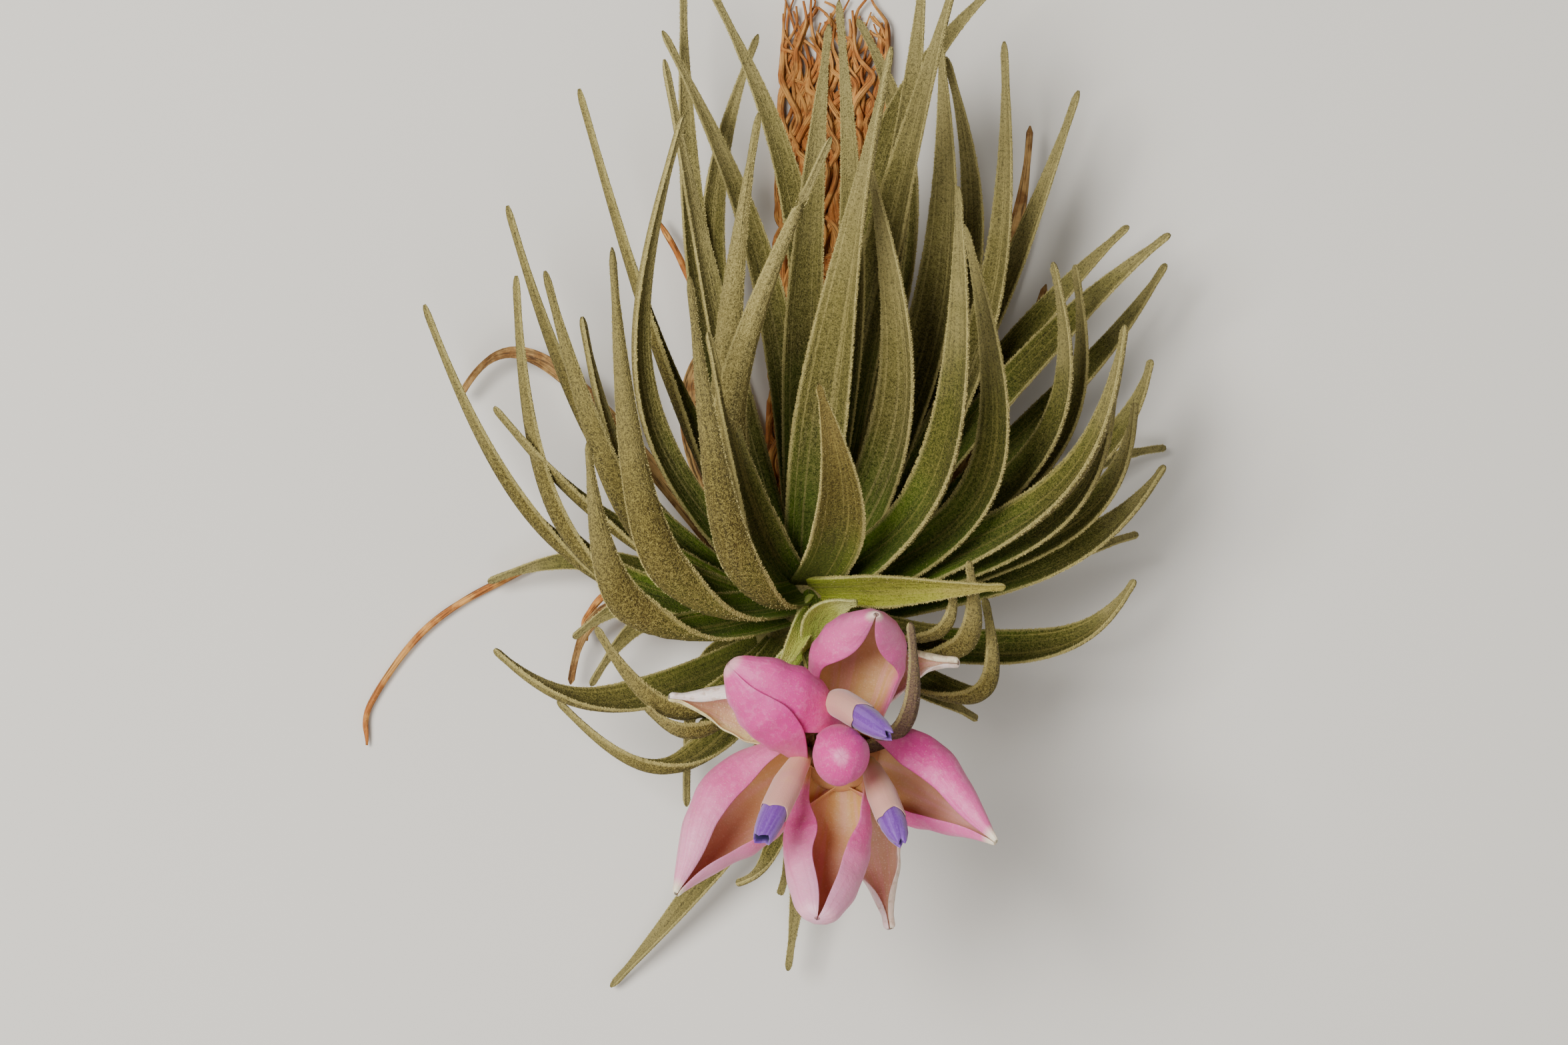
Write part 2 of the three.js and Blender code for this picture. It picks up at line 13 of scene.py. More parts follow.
import bpy
import numpy as np
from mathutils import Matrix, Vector


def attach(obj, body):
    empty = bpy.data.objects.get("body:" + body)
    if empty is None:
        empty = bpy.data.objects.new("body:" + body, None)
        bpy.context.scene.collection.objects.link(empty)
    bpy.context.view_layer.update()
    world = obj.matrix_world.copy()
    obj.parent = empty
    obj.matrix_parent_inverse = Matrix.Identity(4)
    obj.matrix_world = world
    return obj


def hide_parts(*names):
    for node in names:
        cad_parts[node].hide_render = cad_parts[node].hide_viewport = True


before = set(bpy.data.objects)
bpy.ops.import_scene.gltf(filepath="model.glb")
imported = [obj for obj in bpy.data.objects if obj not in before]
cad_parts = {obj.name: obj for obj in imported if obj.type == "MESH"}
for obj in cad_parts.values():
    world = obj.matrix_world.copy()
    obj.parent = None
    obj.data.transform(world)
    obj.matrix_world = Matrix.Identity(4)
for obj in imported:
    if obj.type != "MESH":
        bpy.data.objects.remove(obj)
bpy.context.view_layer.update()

BODY = "root"
log = logging.getLogger("air_plant")

Rows = np.ndarray
Number = np.ndarray | float
Line = Callable[[Rows], Rows]
Place = tuple[float, float, float]
Span = tuple[float, float]
Colour = tuple[float, float, float, float]
Marks = dict[str, Number]
Piece = bpy.types.Object
Finish = bpy.types.Material
Socket = bpy.types.NodeSocket
Draw = np.random.Generator

# Millimetres in metres, and the middle of the plant's own box, which is its origin.
MM = 0.001
MIDDLE = np.array([-2.36, 4.92, 0.0])
# Two shares of a length this far apart give its direction.
STEP = 0.01


def array(place: Iterable[float]) -> Rows:
    """A place or direction as an array."""
    return np.array(tuple(place), dtype=float)


def unit(rows: Rows) -> Rows:
    """Each row brought to length one."""
    return rows / np.maximum(np.linalg.norm(rows, axis=-1, keepdims=True), 1e-9)


def mix(start: "Number | Value", end: "Number | Value", share: "Number | Value") -> "Number | Value":
    """Goes from start to end with share, for numbers, arrays and shader values alike."""
    return start + (end - start) * share


def ease(values: Rows, low: float, high: float) -> Rows:
    """A smooth step from nought at low to one at high."""
    share = np.clip((values - low) / (high - low), 0, 1)
    return share * share * (3 - 2 * share)


def rising(share: Number) -> Number:
    """Rises from nought to one, steeply at first, like a quarter of a wave."""
    return np.sin(share * math.pi / 2)


def past(share: Rows, start: float) -> Rows:
    """How far a share has gone from start to one."""
    return np.clip((share - start) / (1 - start), 0, 1)


def bulge(values: Rows, power: float) -> Rows:
    """Values from -1 to 1 raised to a power that keeps their sign."""
    return np.sign(values) * np.abs(values) ** power


def crossed(along: Rows, across: Rows, waves: Iterable[tuple[Span, float]]) -> Rows:
    """The product of crossing waves, each given as how steep it is along and across, and its shift."""
    return math.prod(np.sin(along * steep[0] + across * steep[1] + shift) for steep, shift in waves)


# Stem: foot and heart of the rosette, and its outline as share of the height and radius.
STEM_FOOT = array((2, -17, 8.6))
STEM_HEART = array((3, -7.5, 34))
STEM_AXIS = unit(STEM_HEART - STEM_FOOT)
STEM_OUTLINE = ((0, 4.6), (0.3, 6.2), (0.6, 5.6), (0.88, 3.8), (1, 2))

# Leaves bend round this line, which rises from the heart, and their channels face it.
BOWL_LINE = unit(array((0, 0.98, 0.2)))
BOWL_AXIS_PULL = 6
# How hard a leaf turns at its knee.
KNEE_WEIGHT = 1.7

# Flower head: the point that everything in it grows from, and the way it faces.
HEAD_MIDDLE = array((6.5, -27, 44.5))
HEAD_AXIS = unit(array((0, 0.02, 1)))
HEAD_REACH = 8


@dataclass(frozen=True)
class Course:
    """Places and directions along a long piece, one row for each share of its length."""

    point: Rows
    along: Rows
    inward: Rows

    @property
    def sideways(self) -> Rows:
        """The direction from edge to edge."""
        return np.cross(self.inward, self.along)

    def turned(self, angle: Number) -> "Course":
        """The same course with its inward side turned about it, in radians, for all rows or each."""
        angle = np.broadcast_to(angle, len(self.point))[:, None]
        return Course(self.point, self.along, self.inward * np.cos(angle) - self.sideways * np.sin(angle))

    def beside(self, out: Rows, up: Rows) -> Rows:
        """The place out to the side of each row and up from it."""
        return self.point + self.sideways * out[:, None] + self.inward * up[:, None]


def course(trace: Line, facing: Line, share: Rows) -> Course:
    """Follows a line and turns its inward side to what it faces.

    Args:
        trace: gives the point at each share of the length.
        facing: gives the direction that the inward side leans to at each point.
        share: shares of the length, from 0 to 1.

    Returns:
        The course at those shares.
    """
    point, along = trace(share), unit(trace(share + STEP) - trace(share - STEP))
    lean = facing(point)
    return Course(point, along, unit(lean - along * np.sum(lean * along, axis=1, keepdims=True)))


def conic(base: Place, knee: Place, tip: Place) -> Line:
    """Makes the conic arc that turns at its knee.

    Args:
        base: where it starts.
        knee: where lines along its two ends would meet.
        tip: where it ends.

    Returns:
        The line.
    """
    def trace(share: Rows) -> Rows:
        """Follows the arc.

        Args:
            share: shares of its length.

        Returns:
            A place for each share.
        """
        t = share[:, None]
        start, bend, end = (1 - t) ** 2, 2 * KNEE_WEIGHT * t * (1 - t), t ** 2
        return (start * array(base) + bend * array(knee) + end * array(tip)) / (start + bend + end)
    return trace


def spline(places: Sequence[Place]) -> Line:
    """Makes a smooth line through places, with each stretch taking an equal share.

    Args:
        places: two places or more.

    Returns:
        The line.
    """
    knots = np.array(places, dtype=float)
    ends = np.vstack([2 * knots[0] - knots[1], knots, 2 * knots[-1] - knots[-2]])

    def trace(share: Rows) -> Rows:
        """Follows the line.

        Args:
            share: shares of its length.

        Returns:
            A place for each share.
        """
        spot = np.clip(share, 0, 1) * (len(knots) - 1)
        first = np.minimum(spot.astype(int), len(knots) - 2)
        t = (spot - first)[:, None]
        before, start, end, after = (ends[first + i] for i in range(4))
        return 0.5 * (2 * start + (end - before) * t
                      + (2 * before - 5 * start + 4 * end - after) * t ** 2
                      + (3 * start - before - 3 * end + after) * t ** 3)
    return trace


def always(*direction: float) -> Line:
    """Makes a facing that is the same direction at every point."""
    return lambda point: np.broadcast_to(array(direction), point.shape)


# Out of the open side of the rosette, and straight up from the floor.
towards_viewer = always(0, -0.5, 1)
upwards = always(0, 0, 1)


def towards_bowl(point: Rows) -> Rows:
    """Where a green leaf's channel faces: up the stem at its base, and to the bowl line further out."""
    height = np.maximum(0, (point - STEM_HEART) @ BOWL_LINE)[:, None]
    return STEM_HEART + BOWL_LINE * height - point + STEM_AXIS * BOWL_AXIS_PULL


def towards_head(point: Rows) -> Rows:
    """Where a floral bract's hollow side faces."""
    return HEAD_MIDDLE + HEAD_AXIS * 2 * HEAD_REACH - point


class Shape:
    """A long piece: place() puts each point of a straight rod where the finished piece has it."""

    def place(self, across: Rows, through: Rows, share: Rows) -> Rows:
        """Places in millimetres.

        Args:
            across: place on the rod's unit circle, from edge to edge.
            through: place on the rod's unit circle, from the back to the inward side.
            share: share of the length.

        Returns:
            One row for each point.
        """
        raise NotImplementedError


def read(items: bpy.types.bpy_prop_collection, name: str, size: int) -> Rows:
    """Reads one property of many items.

    Args:
        items: vertices, or the values of an attribute.
        name: name of the property.
        size: how many numbers each item holds.

    Returns:
        One row for each item.
    """
    values = np.zeros(len(items) * size, dtype=np.float32)
    items.foreach_get(name, values)
    return values.reshape(-1, size).astype(float)


def points_of(piece: Piece) -> Rows:
    """A piece's vertices in metres, one row each."""
    return read(piece.data.vertices, "co", 3)


def put_points(piece: Piece, spots: Rows) -> None:
    """Moves a piece's vertices to spots in metres."""
    piece.data.vertices.foreach_set("co", spots.astype(np.float32).ravel())


def marks_of(piece: Piece, name: str) -> Rows:
    """What put_marks stored under a name, one number for each vertex."""
    return read(piece.data.attributes[name].data, "value", 1)[:, 0]


def put_marks(piece: Piece, marks: Marks) -> None:
    """Stores values at a piece's vertices, which its finish reads by name.

    Args:
        piece: the piece.
        marks: one number for all vertices or for each, by name.
    """
    layers, count = piece.data.attributes, len(piece.data.vertices)
    for name, values in marks.items():
        layer = layers.get(name) or layers.new(name, "FLOAT", "POINT")
        layer.data.foreach_set("value", np.broadcast_to(values, count).astype(np.float32))


def placed(data: bpy.types.ID, place: Place = (0, 0, 0)) -> Piece:
    """Makes an object of a mesh, a light or a camera, with its name, at a place in metres.

    Args:
        data: the mesh, light or camera.
        place: where it goes.

    Returns:
        The object.
    """
    item = bpy.data.objects.new(data.name, data)
    item.location = place
    bpy.context.scene.collection.objects.link(item)
    return item


def joined(pieces: Sequence[Piece], name: str) -> Piece:
    """Joins pieces into one smooth-shaded object.

    Args:
        pieces: the pieces, at least one.
        name: its name.

    Returns:
        The joined object.
    """
    bpy.ops.object.select_all(action="DESELECT")
    for piece in pieces:
        piece.select_set(True)
    bpy.context.view_layer.objects.active = pieces[0]
    if len(pieces) > 1:
        bpy.ops.object.join()
    whole = bpy.context.object
    bpy.ops.object.shade_smooth()
    whole.name = whole.data.name = name
    return whole


def settle(piece: Piece, finish: Finish, node: str) -> None:
    """Gives a piece its finish and its place in the frame, and reports it.

    Args:
        piece: the piece.
        finish: its finish.
        node: the solid that it stands for.
    """
    piece.data.materials.clear()
    piece.data.materials.append(finish)
    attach(piece, BODY)
    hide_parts(node)
    log.info("%s: %d faces", piece.name, len(piece.data.polygons))


def seeds(draw: Draw, shapes: Sequence[Shape]) -> list[Marks]:
    """Draws each shape a number of its own."""
    return [{"seed": draw.random()} for _ in shapes]


@dataclass(frozen=True)
class Rod:
    """A straight rod, one long and one in radius, extruded ring by ring and then bent into pieces."""

    sides: int
    steps: int
    # Above one, rings crowd towards the far end.
    crowding: float = 1.0

    def model(self) -> Piece:
        """Models the rod as a disc that is extruded step by step.

        Returns:
            The rod, from nought to one along Z, closed at both ends.
        """
        bpy.ops.object.select_all(action="DESELECT")
        bpy.ops.mesh.primitive_circle_add(vertices=self.sides, radius=1, fill_type="TRIFAN")
        rod = bpy.context.object
        bpy.ops.object.mode_set(mode="EDIT")
        bpy.ops.mesh.select_all(action="SELECT")
        for _ in range(self.steps):
            bpy.ops.mesh.extrude_region_move(TRANSFORM_OT_translate={"value": (0, 0, 1 / self.steps)})
        bpy.ops.mesh.select_all(action="SELECT")
        bpy.ops.mesh.normals_make_consistent(inside=False)
        bpy.ops.object.mode_set(mode="OBJECT")
        while rod.data.uv_layers:
            rod.data.uv_layers.remove(rod.data.uv_layers[0])
        return rod

    def bend(self, shapes: Sequence[Shape], marks: Sequence[Marks], name: str) -> Piece:
        """Bends a copy of the rod into each shape and joins the copies.

        Args:
            shapes: the shapes.
            marks: for each shape, values by name that its finish reads.
            name: name of the joined piece.

        Returns:
            The piece, in metres about the plant's origin.
        """
        rod = self.model()
        across, through, height = points_of(rod).T
        share = 1 - np.clip(1 - height, 0, 1) ** self.crowding
        copies = []
        for shape, values in zip(shapes, marks):
            copy = rod.copy()
            copy.data = rod.data.copy()
            bpy.context.scene.collection.objects.link(copy)
            put_points(copy, (shape.place(across, through, share) - MIDDLE) * MM)
            put_marks(copy, {"across": across, "face": through, "along": share, **values})
            copies.append(copy)
        bpy.data.objects.remove(rod)
        return joined(copies, name)


def operator(operation: str) -> "Callable[[Value, Value | float], Value]":
    """Makes a Python operator out of a Math node's operation."""
    return lambda one, other: one.shader.maths(operation, one, other)


class Value:
    """A number socket of a shader, which Python's operators work on."""

    __add__ = __radd__ = operator("ADD")
    __mul__ = __rmul__ = operator("MULTIPLY")
    __sub__ = operator("SUBTRACT")

    def __init__(self, shader: "Shader", socket: Socket) -> None:
        """Wraps a socket of a shader."""
        self.shader = shader
        self.socket = socket

    def __rsub__(self, other: float) -> "Value":
        """Difference from a number."""
        return self.shader.maths("SUBTRACT", other, self)

    def __abs__(self) -> "Value":
        """Size without sign."""
        return self.shader.maths("ABSOLUTE", self)

    def over(self, low: float, high: float) -> "Value":
        """Steps smoothly from nought at low to one at high, or down where low is the larger.

        Args:
            low: where the step starts.
            high: where it is full.

        Returns:
            The step.
        """
        inputs = {"Value": self, "From Min": min(low, high), "From Max": max(low, high)}
        settings = {"interpolation_type": "SMOOTHSTEP"}
        step = Value(self.shader, self.shader.node("ShaderNodeMapRange", settings, inputs).outputs[0])
        return 1 - step if low > high else step


# How far a piece's own number shifts the noise of its lines, across and in depth.
SEED_SHIFT = (40, 9)


class Shader:
    """A material's nodes: one method adds any node, and the rest are short forms of it."""

    def __init__(self, name: str) -> None:
        """Starts an empty material.

        Args:
            name: its name.
        """
        self.material = bpy.data.materials.new(name)
        self.material.use_nodes = True
        self.tree = self.material.node_tree
        self.tree.nodes.clear()
        self.spot = self.node("ShaderNodeTexCoord", {}, {}).outputs["Object"]

    def node(self, kind: str, settings: dict, inputs: dict) -> bpy.types.Node:
        """Adds a node.

        Args:
            kind: its type.
            settings: its settings, set first.
            inputs: numbers, colours, Values or sockets by the name or number of its sockets.

        Returns:
            The node.
        """
        made = self.tree.nodes.new(kind)
        for key, value in settings.items():
            setattr(made, key, value)
        for key, value in inputs.items():
            source = value.socket if isinstance(value, Value) else value
            if isinstance(source, Socket):
                self.tree.links.new(source, made.inputs[key])
            else:
                made.inputs[key].default_value = source
        return made

    def maths(self, operation: str, *values: "Value | float") -> Value:
        """A Math node on one or two values."""
        inputs = dict(enumerate(values))
        return Value(self, self.node("ShaderNodeMath", {"operation": operation}, inputs).outputs[0])

    def marks(self, *names: str) -> list[Value]:
        """Values that the mesh holds at each of its points, by name."""
        kinds = [{"attribute_type": "GEOMETRY", "attribute_name": name} for name in names]
        return [Value(self, self.node("ShaderNodeAttribute", kind, {}).outputs["Fac"]) for kind in kinds]

    def noise(self, scale: float, detail: float = 2.0, at: "Socket | None" = None) -> Value:
        """Noise about one half, of scale clouds to a metre or to one unit of the place given."""
        inputs = {"Vector": at or self.spot, "Scale": scale, "Detail": detail}
        return Value(self, self.node("ShaderNodeTexNoise", {}, inputs).outputs[0])

    def lines(self, count: float, changes: float) -> Value:
        """Noise drawn out into lines along a piece, different on each leaf, bract or root.

        Args:
            count: how many lines lie across the piece.
            changes: how often a line changes along it.

        Returns:
            The noise, about one half on average.
        """
        across, along, seed = self.marks("across", "along", "seed")
        inputs = {0: across * count + seed * SEED_SHIFT[0], 1: along * changes, 2: seed * SEED_SHIFT[1]}
        return self.noise(1.0, at=self.node("ShaderNodeCombineXYZ", {}, inputs).outputs[0])

    def painted(self, ground: "Colour | Socket", *coats: "tuple[Colour | Socket, Value]") -> Socket:
        """Paints colours over a ground, one after another.

        Args:
            ground: the colour beneath.
            coats: each colour, and how much of it shows.

        Returns:
            The painted colour.
        """
        for colour, share in coats:
            mixing = self.node("ShaderNodeMix", {"data_type": "RGBA"}, {0: share, 6: ground, 7: colour})
            ground = mixing.outputs[2]
        return ground

    def relief(self, height: Value, depth: float, strength: float) -> Socket:
        """A bumped normal whose full height is depth metres."""
        inputs = {"Height": height, "Distance": depth, "Strength": strength}
        return self.node("ShaderNodeBump", {}, inputs).outputs[0]

    def done(self, **sockets: object) -> Finish:
        """Ends the material in a Principled shader.

        Args:
            sockets: its sockets by name, with _ for a space.

        Returns:
            The material.
        """
        inputs = {key.replace("_", " "): value for key, value in sockets.items()}
        surface = self.node("ShaderNodeBsdfPrincipled", {}, inputs).outputs[0]
        self.node("ShaderNodeOutputMaterial", {}, {"Surface": surface})
        return self.material


def rgb(code: str) -> Colour:
    """The linear colour of a screen code of two hexadecimal digits each of red, green and blue."""
    parts = [int(code[i:i + 2], 16) / 255 for i in (0, 2, 4)]
    return (*(c / 12.92 if c <= 0.04045 else ((c + 0.055) / 1.055) ** 2.4 for c in parts), 1.0)


@dataclass(frozen=True)
class LeafFinish:
    """The scaly coat of a leaf: green near its base, olive and tan further out, pale at its edges."""

    name: str = "leaf_coat"
    # The base green is the leaf's own colour, made deeper than it is to paint the shade near the heart.
    base: Colour = rgb("4a6a00")
    inside: Colour = rgb("404602")
    outside: Colour = rgb("4c3e10")
    tip: Colour = rgb("9c8f5c")
    silver: Colour = rgb("867a40")
    scale: Colour = rgb("b0a056")
    # Dark of the pores between scales and of the streaks, also used as painted shade down the back and in the
    # channel.
    pore_and_shade: Colour = rgb("1c1507")
    edge: Colour = rgb("ccbd78")
    # How much of the blade its silver scales cover.
    cover: float = 1.0
    # Grains, clumps and clots of the coat to a metre with the share of each, and patches of the leaf.
    grains: Sequence[Span] = ((9000.0, 0.42), (5400.0, 0.3), (2700.0, 0.28))
    patches: float = 260.0
    # Dark streaks and pale ribs: lines across the blade, and how often each changes along it.
    streaks: Span = (7.0, 5.0)
    ribs: Span = (8.0, 0.6)
    # Places along the blade where a colour, or what dims it (the painted shade in the channel, the sparser
    # scales near the base), starts and is full.
    silver_reach: Span = (0.3, 0.95)
    tip_reach: Span = (0.62, 0.98)
    green_reach: Span = (0.6, 0.12)
    channel_shade_reach: Span = (0.95, 0.2)
    bare_reach: Span = (0.42, 0.08)
    edge_reach: Span = (0.0, 0.2)
    # Places from the middle line to the edge: the painted shade of a groove down the back, the painted shade
    # at the bottom of the channel, and the pale margins.
    groove_shade: Span = (0.3, 0.02)
    channel: Span = (0.75, 0.1)
    inner_margin: Span = (0.78, 0.97)
    back_margin: Span = (0.9, 0.99)
    # How much of a colour shows on the back and on the inward face.
    silver_share: Span = (0.85, 0.5)
    tip_share: Span = (0.6, 0.85)
    green_share: Span = (0.35, 0.95)
    scale_share: Span = (0.78, 0.36)
    depth: float = 0.0005

    def made(self) -> Finish:
        """Makes the finish.

        Returns:
            The material.
        """
        s = Shader(self.name)
        along, across, seed, tone, face = s.marks("along", "across", "seed", "tone", "face")
        inner, rim = face.over(-0.25, 0.25), abs(across)
        grain, clumps, clots = (s.noise(scale) * share for scale, share in self.grains)
        mottle = grain + clumps + clots
        patches = s.noise(self.patches, 3.0)
        drift = patches - 0.5
        streak = s.lines(*self.streaks)
        margin = mix(rim.over(*self.back_margin), rim.over(*self.inner_margin), inner)
        silver = tone * mix(*self.silver_share, inner) * (0.15 + 0.85 * along.over(*self.silver_reach))
        tip = (along + 0.25 * drift).over(*self.tip_reach) * mix(*self.tip_share, inner)
        # Green towards the base: partly the leaf's own colour, partly painted shade near the heart.
        green = (along + 0.3 * drift + 0.1 * tone).over(*self.green_reach) * mix(*self.green_share, inner)
        # Painted shade: a dark line down the middle of the back, for the shade in a groove there.
        groove_shade = rim.over(*self.groove_shade) * (1 - inner) * seed.over(0.2, 0.7)
        # Painted shade: the bottom of the channel on the inward face is darkened, most towards the base, for
        # the shade deep in it.
        channel = rim.over(*self.channel) * inner * along.over(*self.channel_shade_reach)
        edge = margin * (0.95 * mottle + 0.6 * (patches - 0.3)) * along.over(*self.edge_reach)
        bare = 1 - 0.6 * along.over(*self.bare_reach) * inner
        scales = mottle.over(0.4, 0.7) * mix(*self.scale_share, inner) * self.cover * bare
        body = s.painted(
            self.outside, (self.inside, inner), (self.silver, silver), (self.tip, tip), (self.base, green),
            (self.scale, s.lines(*self.ribs).over(0.52, 0.68) * 0.36 * inner),
            # Dark streaks and pores, and painted shade down the back and in the channel.
            (self.pore_and_shade, streak.over(0.5, 0.25) * 0.4), (self.pore_and_shade, groove_shade * 0.4), (self.pore_and_shade, channel * 0.35),
            (self.edge, edge), (self.pore_and_shade, mottle.over(0.52, 0.34) * (0.55 * self.cover)),
            (self.scale, scales))
        return s.done(Base_Color=body, Roughness=0.85, Specular_IOR_Level=0.25,
                      Normal=s.relief(mottle + 0.35 * streak, self.depth, 1.0))


@dataclass(frozen=True)
class PlainFinish:
    """One even dull colour."""

    name: str
    colour: Colour
    roughness: float

    def made(self) -> Finish:
        """Makes the finish."""
        return Shader(self.name).done(Base_Color=self.colour, Roughness=self.roughness)


# The free ends of a leaf's scales are finer than a pixel, so each sort has one even colour.
LEAF_SCALES = PlainFinish("leaf_scales", rgb("bcad6c"), 0.9)
SPUR_SCALES = PlainFinish("spur_scales", rgb("94807a"), 0.9)
FLOOR = PlainFinish("floor", rgb("d9d4ca"), 0.8)


@dataclass(frozen=True)
class BractFinish:
    """A waxy petal-like bract: pink, paler to a cream tip, and peach inside."""

    name: str = "bract"
    deep: Colour = rgb("de649e")
    pink: Colour = rgb("d03488")
    pale: Colour = rgb("ea94b6")
    bleached: Colour = rgb("e8d6cc")
    lime: Colour = rgb("e2d888")
    scurf: Colour = rgb("a88a68")
    tip: Colour = rgb("f2e6c4")
    hollow: Colour = rgb("c4946e")
    throat: Colour = rgb("cca24c")
    pale_hollow: Colour = rgb("d0b088")
    vein: Colour = rgb("c42e7e")
    # How fine the clouds, creases and grain are, to a metre, and the veins across and along.
    clouds: float = 230.0
    creases: float = 1100.0
    grains: float = 5200.0
    veins: Span = (12.0, 1.0)
    # Places along a bract where a colour starts and is full, as the clouds shift them.
    pink_reach: Span = (0.15, 0.5)
    pale_reach: Span = (0.45, 1.0)
    bleached_reach: Span = (0.2, 0.8)
    throat_reach: Span = (0.6, 0.15)
    tip_reach: Span = (0.955, 0.99)
    # Places from the middle line to the edge where the lining ends, and where the foot turns yellow.
    lining: Span = (0.8, 0.45)
    foot: Span = (0.5, 0.9)
    depth: float = 0.00014
    # How far light goes under the skin in red, green and blue, in parts of the distance below.
    glow: Place = (1.0, 0.4, 0.35)
    glow_distance: float = 0.0012

    def made(self) -> Finish:
        """Makes the finish.

        Returns:
            The material.
        """
        s = Shader(self.name)
        along, across, tone, face = s.marks("along", "across", "tone", "face")
        fade, green, cap = s.marks("fade", "green", "cap")
        crease, grain, veins = s.noise(self.creases, 3.0), s.noise(self.grains), s.lines(*self.veins)
        reach = along + 0.22 * (s.noise(self.clouds, 3.0) - 0.5)
        rim = abs(across)
        lining = s.painted(
            self.hollow, (self.throat, reach.over(*self.throat_reach)),
            (self.pale_hollow, tone * (0.8 - 0.45 * green)), (self.pale, veins.over(0.45, 0.7) * 0.25))
        body = s.painted(
            self.deep, (self.pink, reach.over(*self.pink_reach)),
            (self.pale, reach.over(*self.pale_reach) * fade), (self.pale, crease.over(0.5, 0.68) * 0.2),
            (self.vein, veins.over(0.52, 0.7) * 0.32),
            (self.bleached, tone * (0.6 + 0.4 * reach.over(*self.bleached_reach))),
            (self.lime, green * across.over(-0.1, 0.6) * 0.85),
            (self.scurf, tone * crease.over(0.5, 0.36) * 0.5),
            (lining, face.over(-0.1, 0.3) * rim.over(*self.lining) * 0.92),
            (self.throat, rim.over(*self.foot) * along.over(0.2, 0.1) * 0.8),
            (self.tip, (along - 0.05 * tone).over(*self.tip_reach) * cap),
            (self.tip, grain.over(0.56, 0.72) * (0.14 + 0.5 * tone)))
        return s.done(Base_Color=body, Roughness=0.5, Sheen_Weight=0.06, Subsurface_Weight=0.22,
                      Subsurface_Radius=self.glow, Subsurface_Scale=self.glow_distance,
                      Normal=s.relief(0.3 * grain + veins + 1.2 * crease, self.depth, 0.6))


@dataclass(frozen=True)
class CorollaFinish:
    """A cream sleeve and the violet petals that are rolled inside it."""

    name: str = "corolla"
    cream: Colour = rgb("d0a57e")
    blush: Colour = rgb("cc8890")
    foot: Colour = rgb("dcb83e")
    violet: Colour = rgb("6a3094")
    light: Colour = rgb("8e60b8")
    # Painted shade: the petals inside the mouth, where they turn back down into the tube, take this dark for
    # the shade in the opening.
    dark: Colour = rgb("1d1046")
    # How fine the clouds and grain are, to a metre, and the streaks across and along.
    clouds: float = 900.0
    grains: float = 4200.0
    streaks: Span = (5.0, 1.5)
    # Places along the tube where the yellow foot and the blush start and are full.
    foot_reach: Span = (0.35, 0.1)
    blush_reach: Span = (0.45, 0.7)
    depth: float = 0.00006
    # How far light goes under the skin in red, green and blue, in parts of the distance below.
    glow: Place = (0.7, 0.5, 0.8)
    glow_distance: float = 0.0008

    def made(self) -> Finish:
        """Makes the finish.

        Returns:
            The material.
        """
        s = Shader(self.name)
        along, petal, mouth = s.marks("along", "petal", "mouth")
        grain, streak = s.noise(self.grains), s.lines(*self.streaks)
        blush = (along + 0.4 * (s.noise(self.clouds, 3.0) - 0.5)).over(*self.blush_reach)
        violet = s.painted(self.violet, (self.light, streak.over(0.4, 0.65) * 0.5),
                           (self.light, grain.over(0.5, 0.7) * 0.35))
        # The dark over the mouth mark is painted shade inside the opening.
        body = s.painted(self.cream, (self.foot, along.over(*self.foot_reach)), (self.blush, blush * 0.45),
                         (violet, petal), (self.dark, mouth))
        return s.done(Base_Color=body, Roughness=0.55, Sheen_Weight=0.3, Subsurface_Weight=0.15,
                      Subsurface_Radius=self.glow, Subsurface_Scale=self.glow_distance,
                      Normal=s.relief(grain + streak, self.depth, 0.6))


@dataclass(frozen=True)
class FibreFinish:
    """Dry plant fibre: a root, a dead leaf or the old stem."""

    name: str
    colour: Colour
    light: Colour
    dark: Colour
    # How many streaks lie across a fibre, and how often each changes along it.
    streaks: Span = (6.0, 14.0)
    # How fine the clouds and grain are, to a metre.
    clouds: float = 420.0
    grains: float = 3000.0
    depth: float = 0.00025

    def made(self) -> Finish:
        """Makes the finish.

        Returns:
            The material.
        """
        s = Shader(self.name)
        cloud, grain, streak = s.noise(self.clouds, 4.0), s.noise(self.grains), s.lines(*self.streaks)
        body = s.painted(
            self.colour, (self.light, cloud.over(0.4, 0.62)), (self.dark, streak.over(0.52, 0.34) * 0.8),
            (self.light, grain.over(0.56, 0.72) * 0.3))
        return s.done(Base_Color=body, Roughness=0.85, Normal=s.relief(streak + 0.4 * grain, self.depth, 0.8))


# Share of the length over which a tip rounds off, and how blunt edges and faces are.
TIP_ROUND = 0.014
EDGE_BLUNT = 0.8
FACE_BLUNT = 0.62


def tip_rounding(share: Rows) -> Rows:
    """Narrows a piece to a round end over the last share of its length."""
    left = np.clip((1 - share) / TIP_ROUND, 0.02, 1)
    return np.sqrt(1 - (1 - left) ** 2)


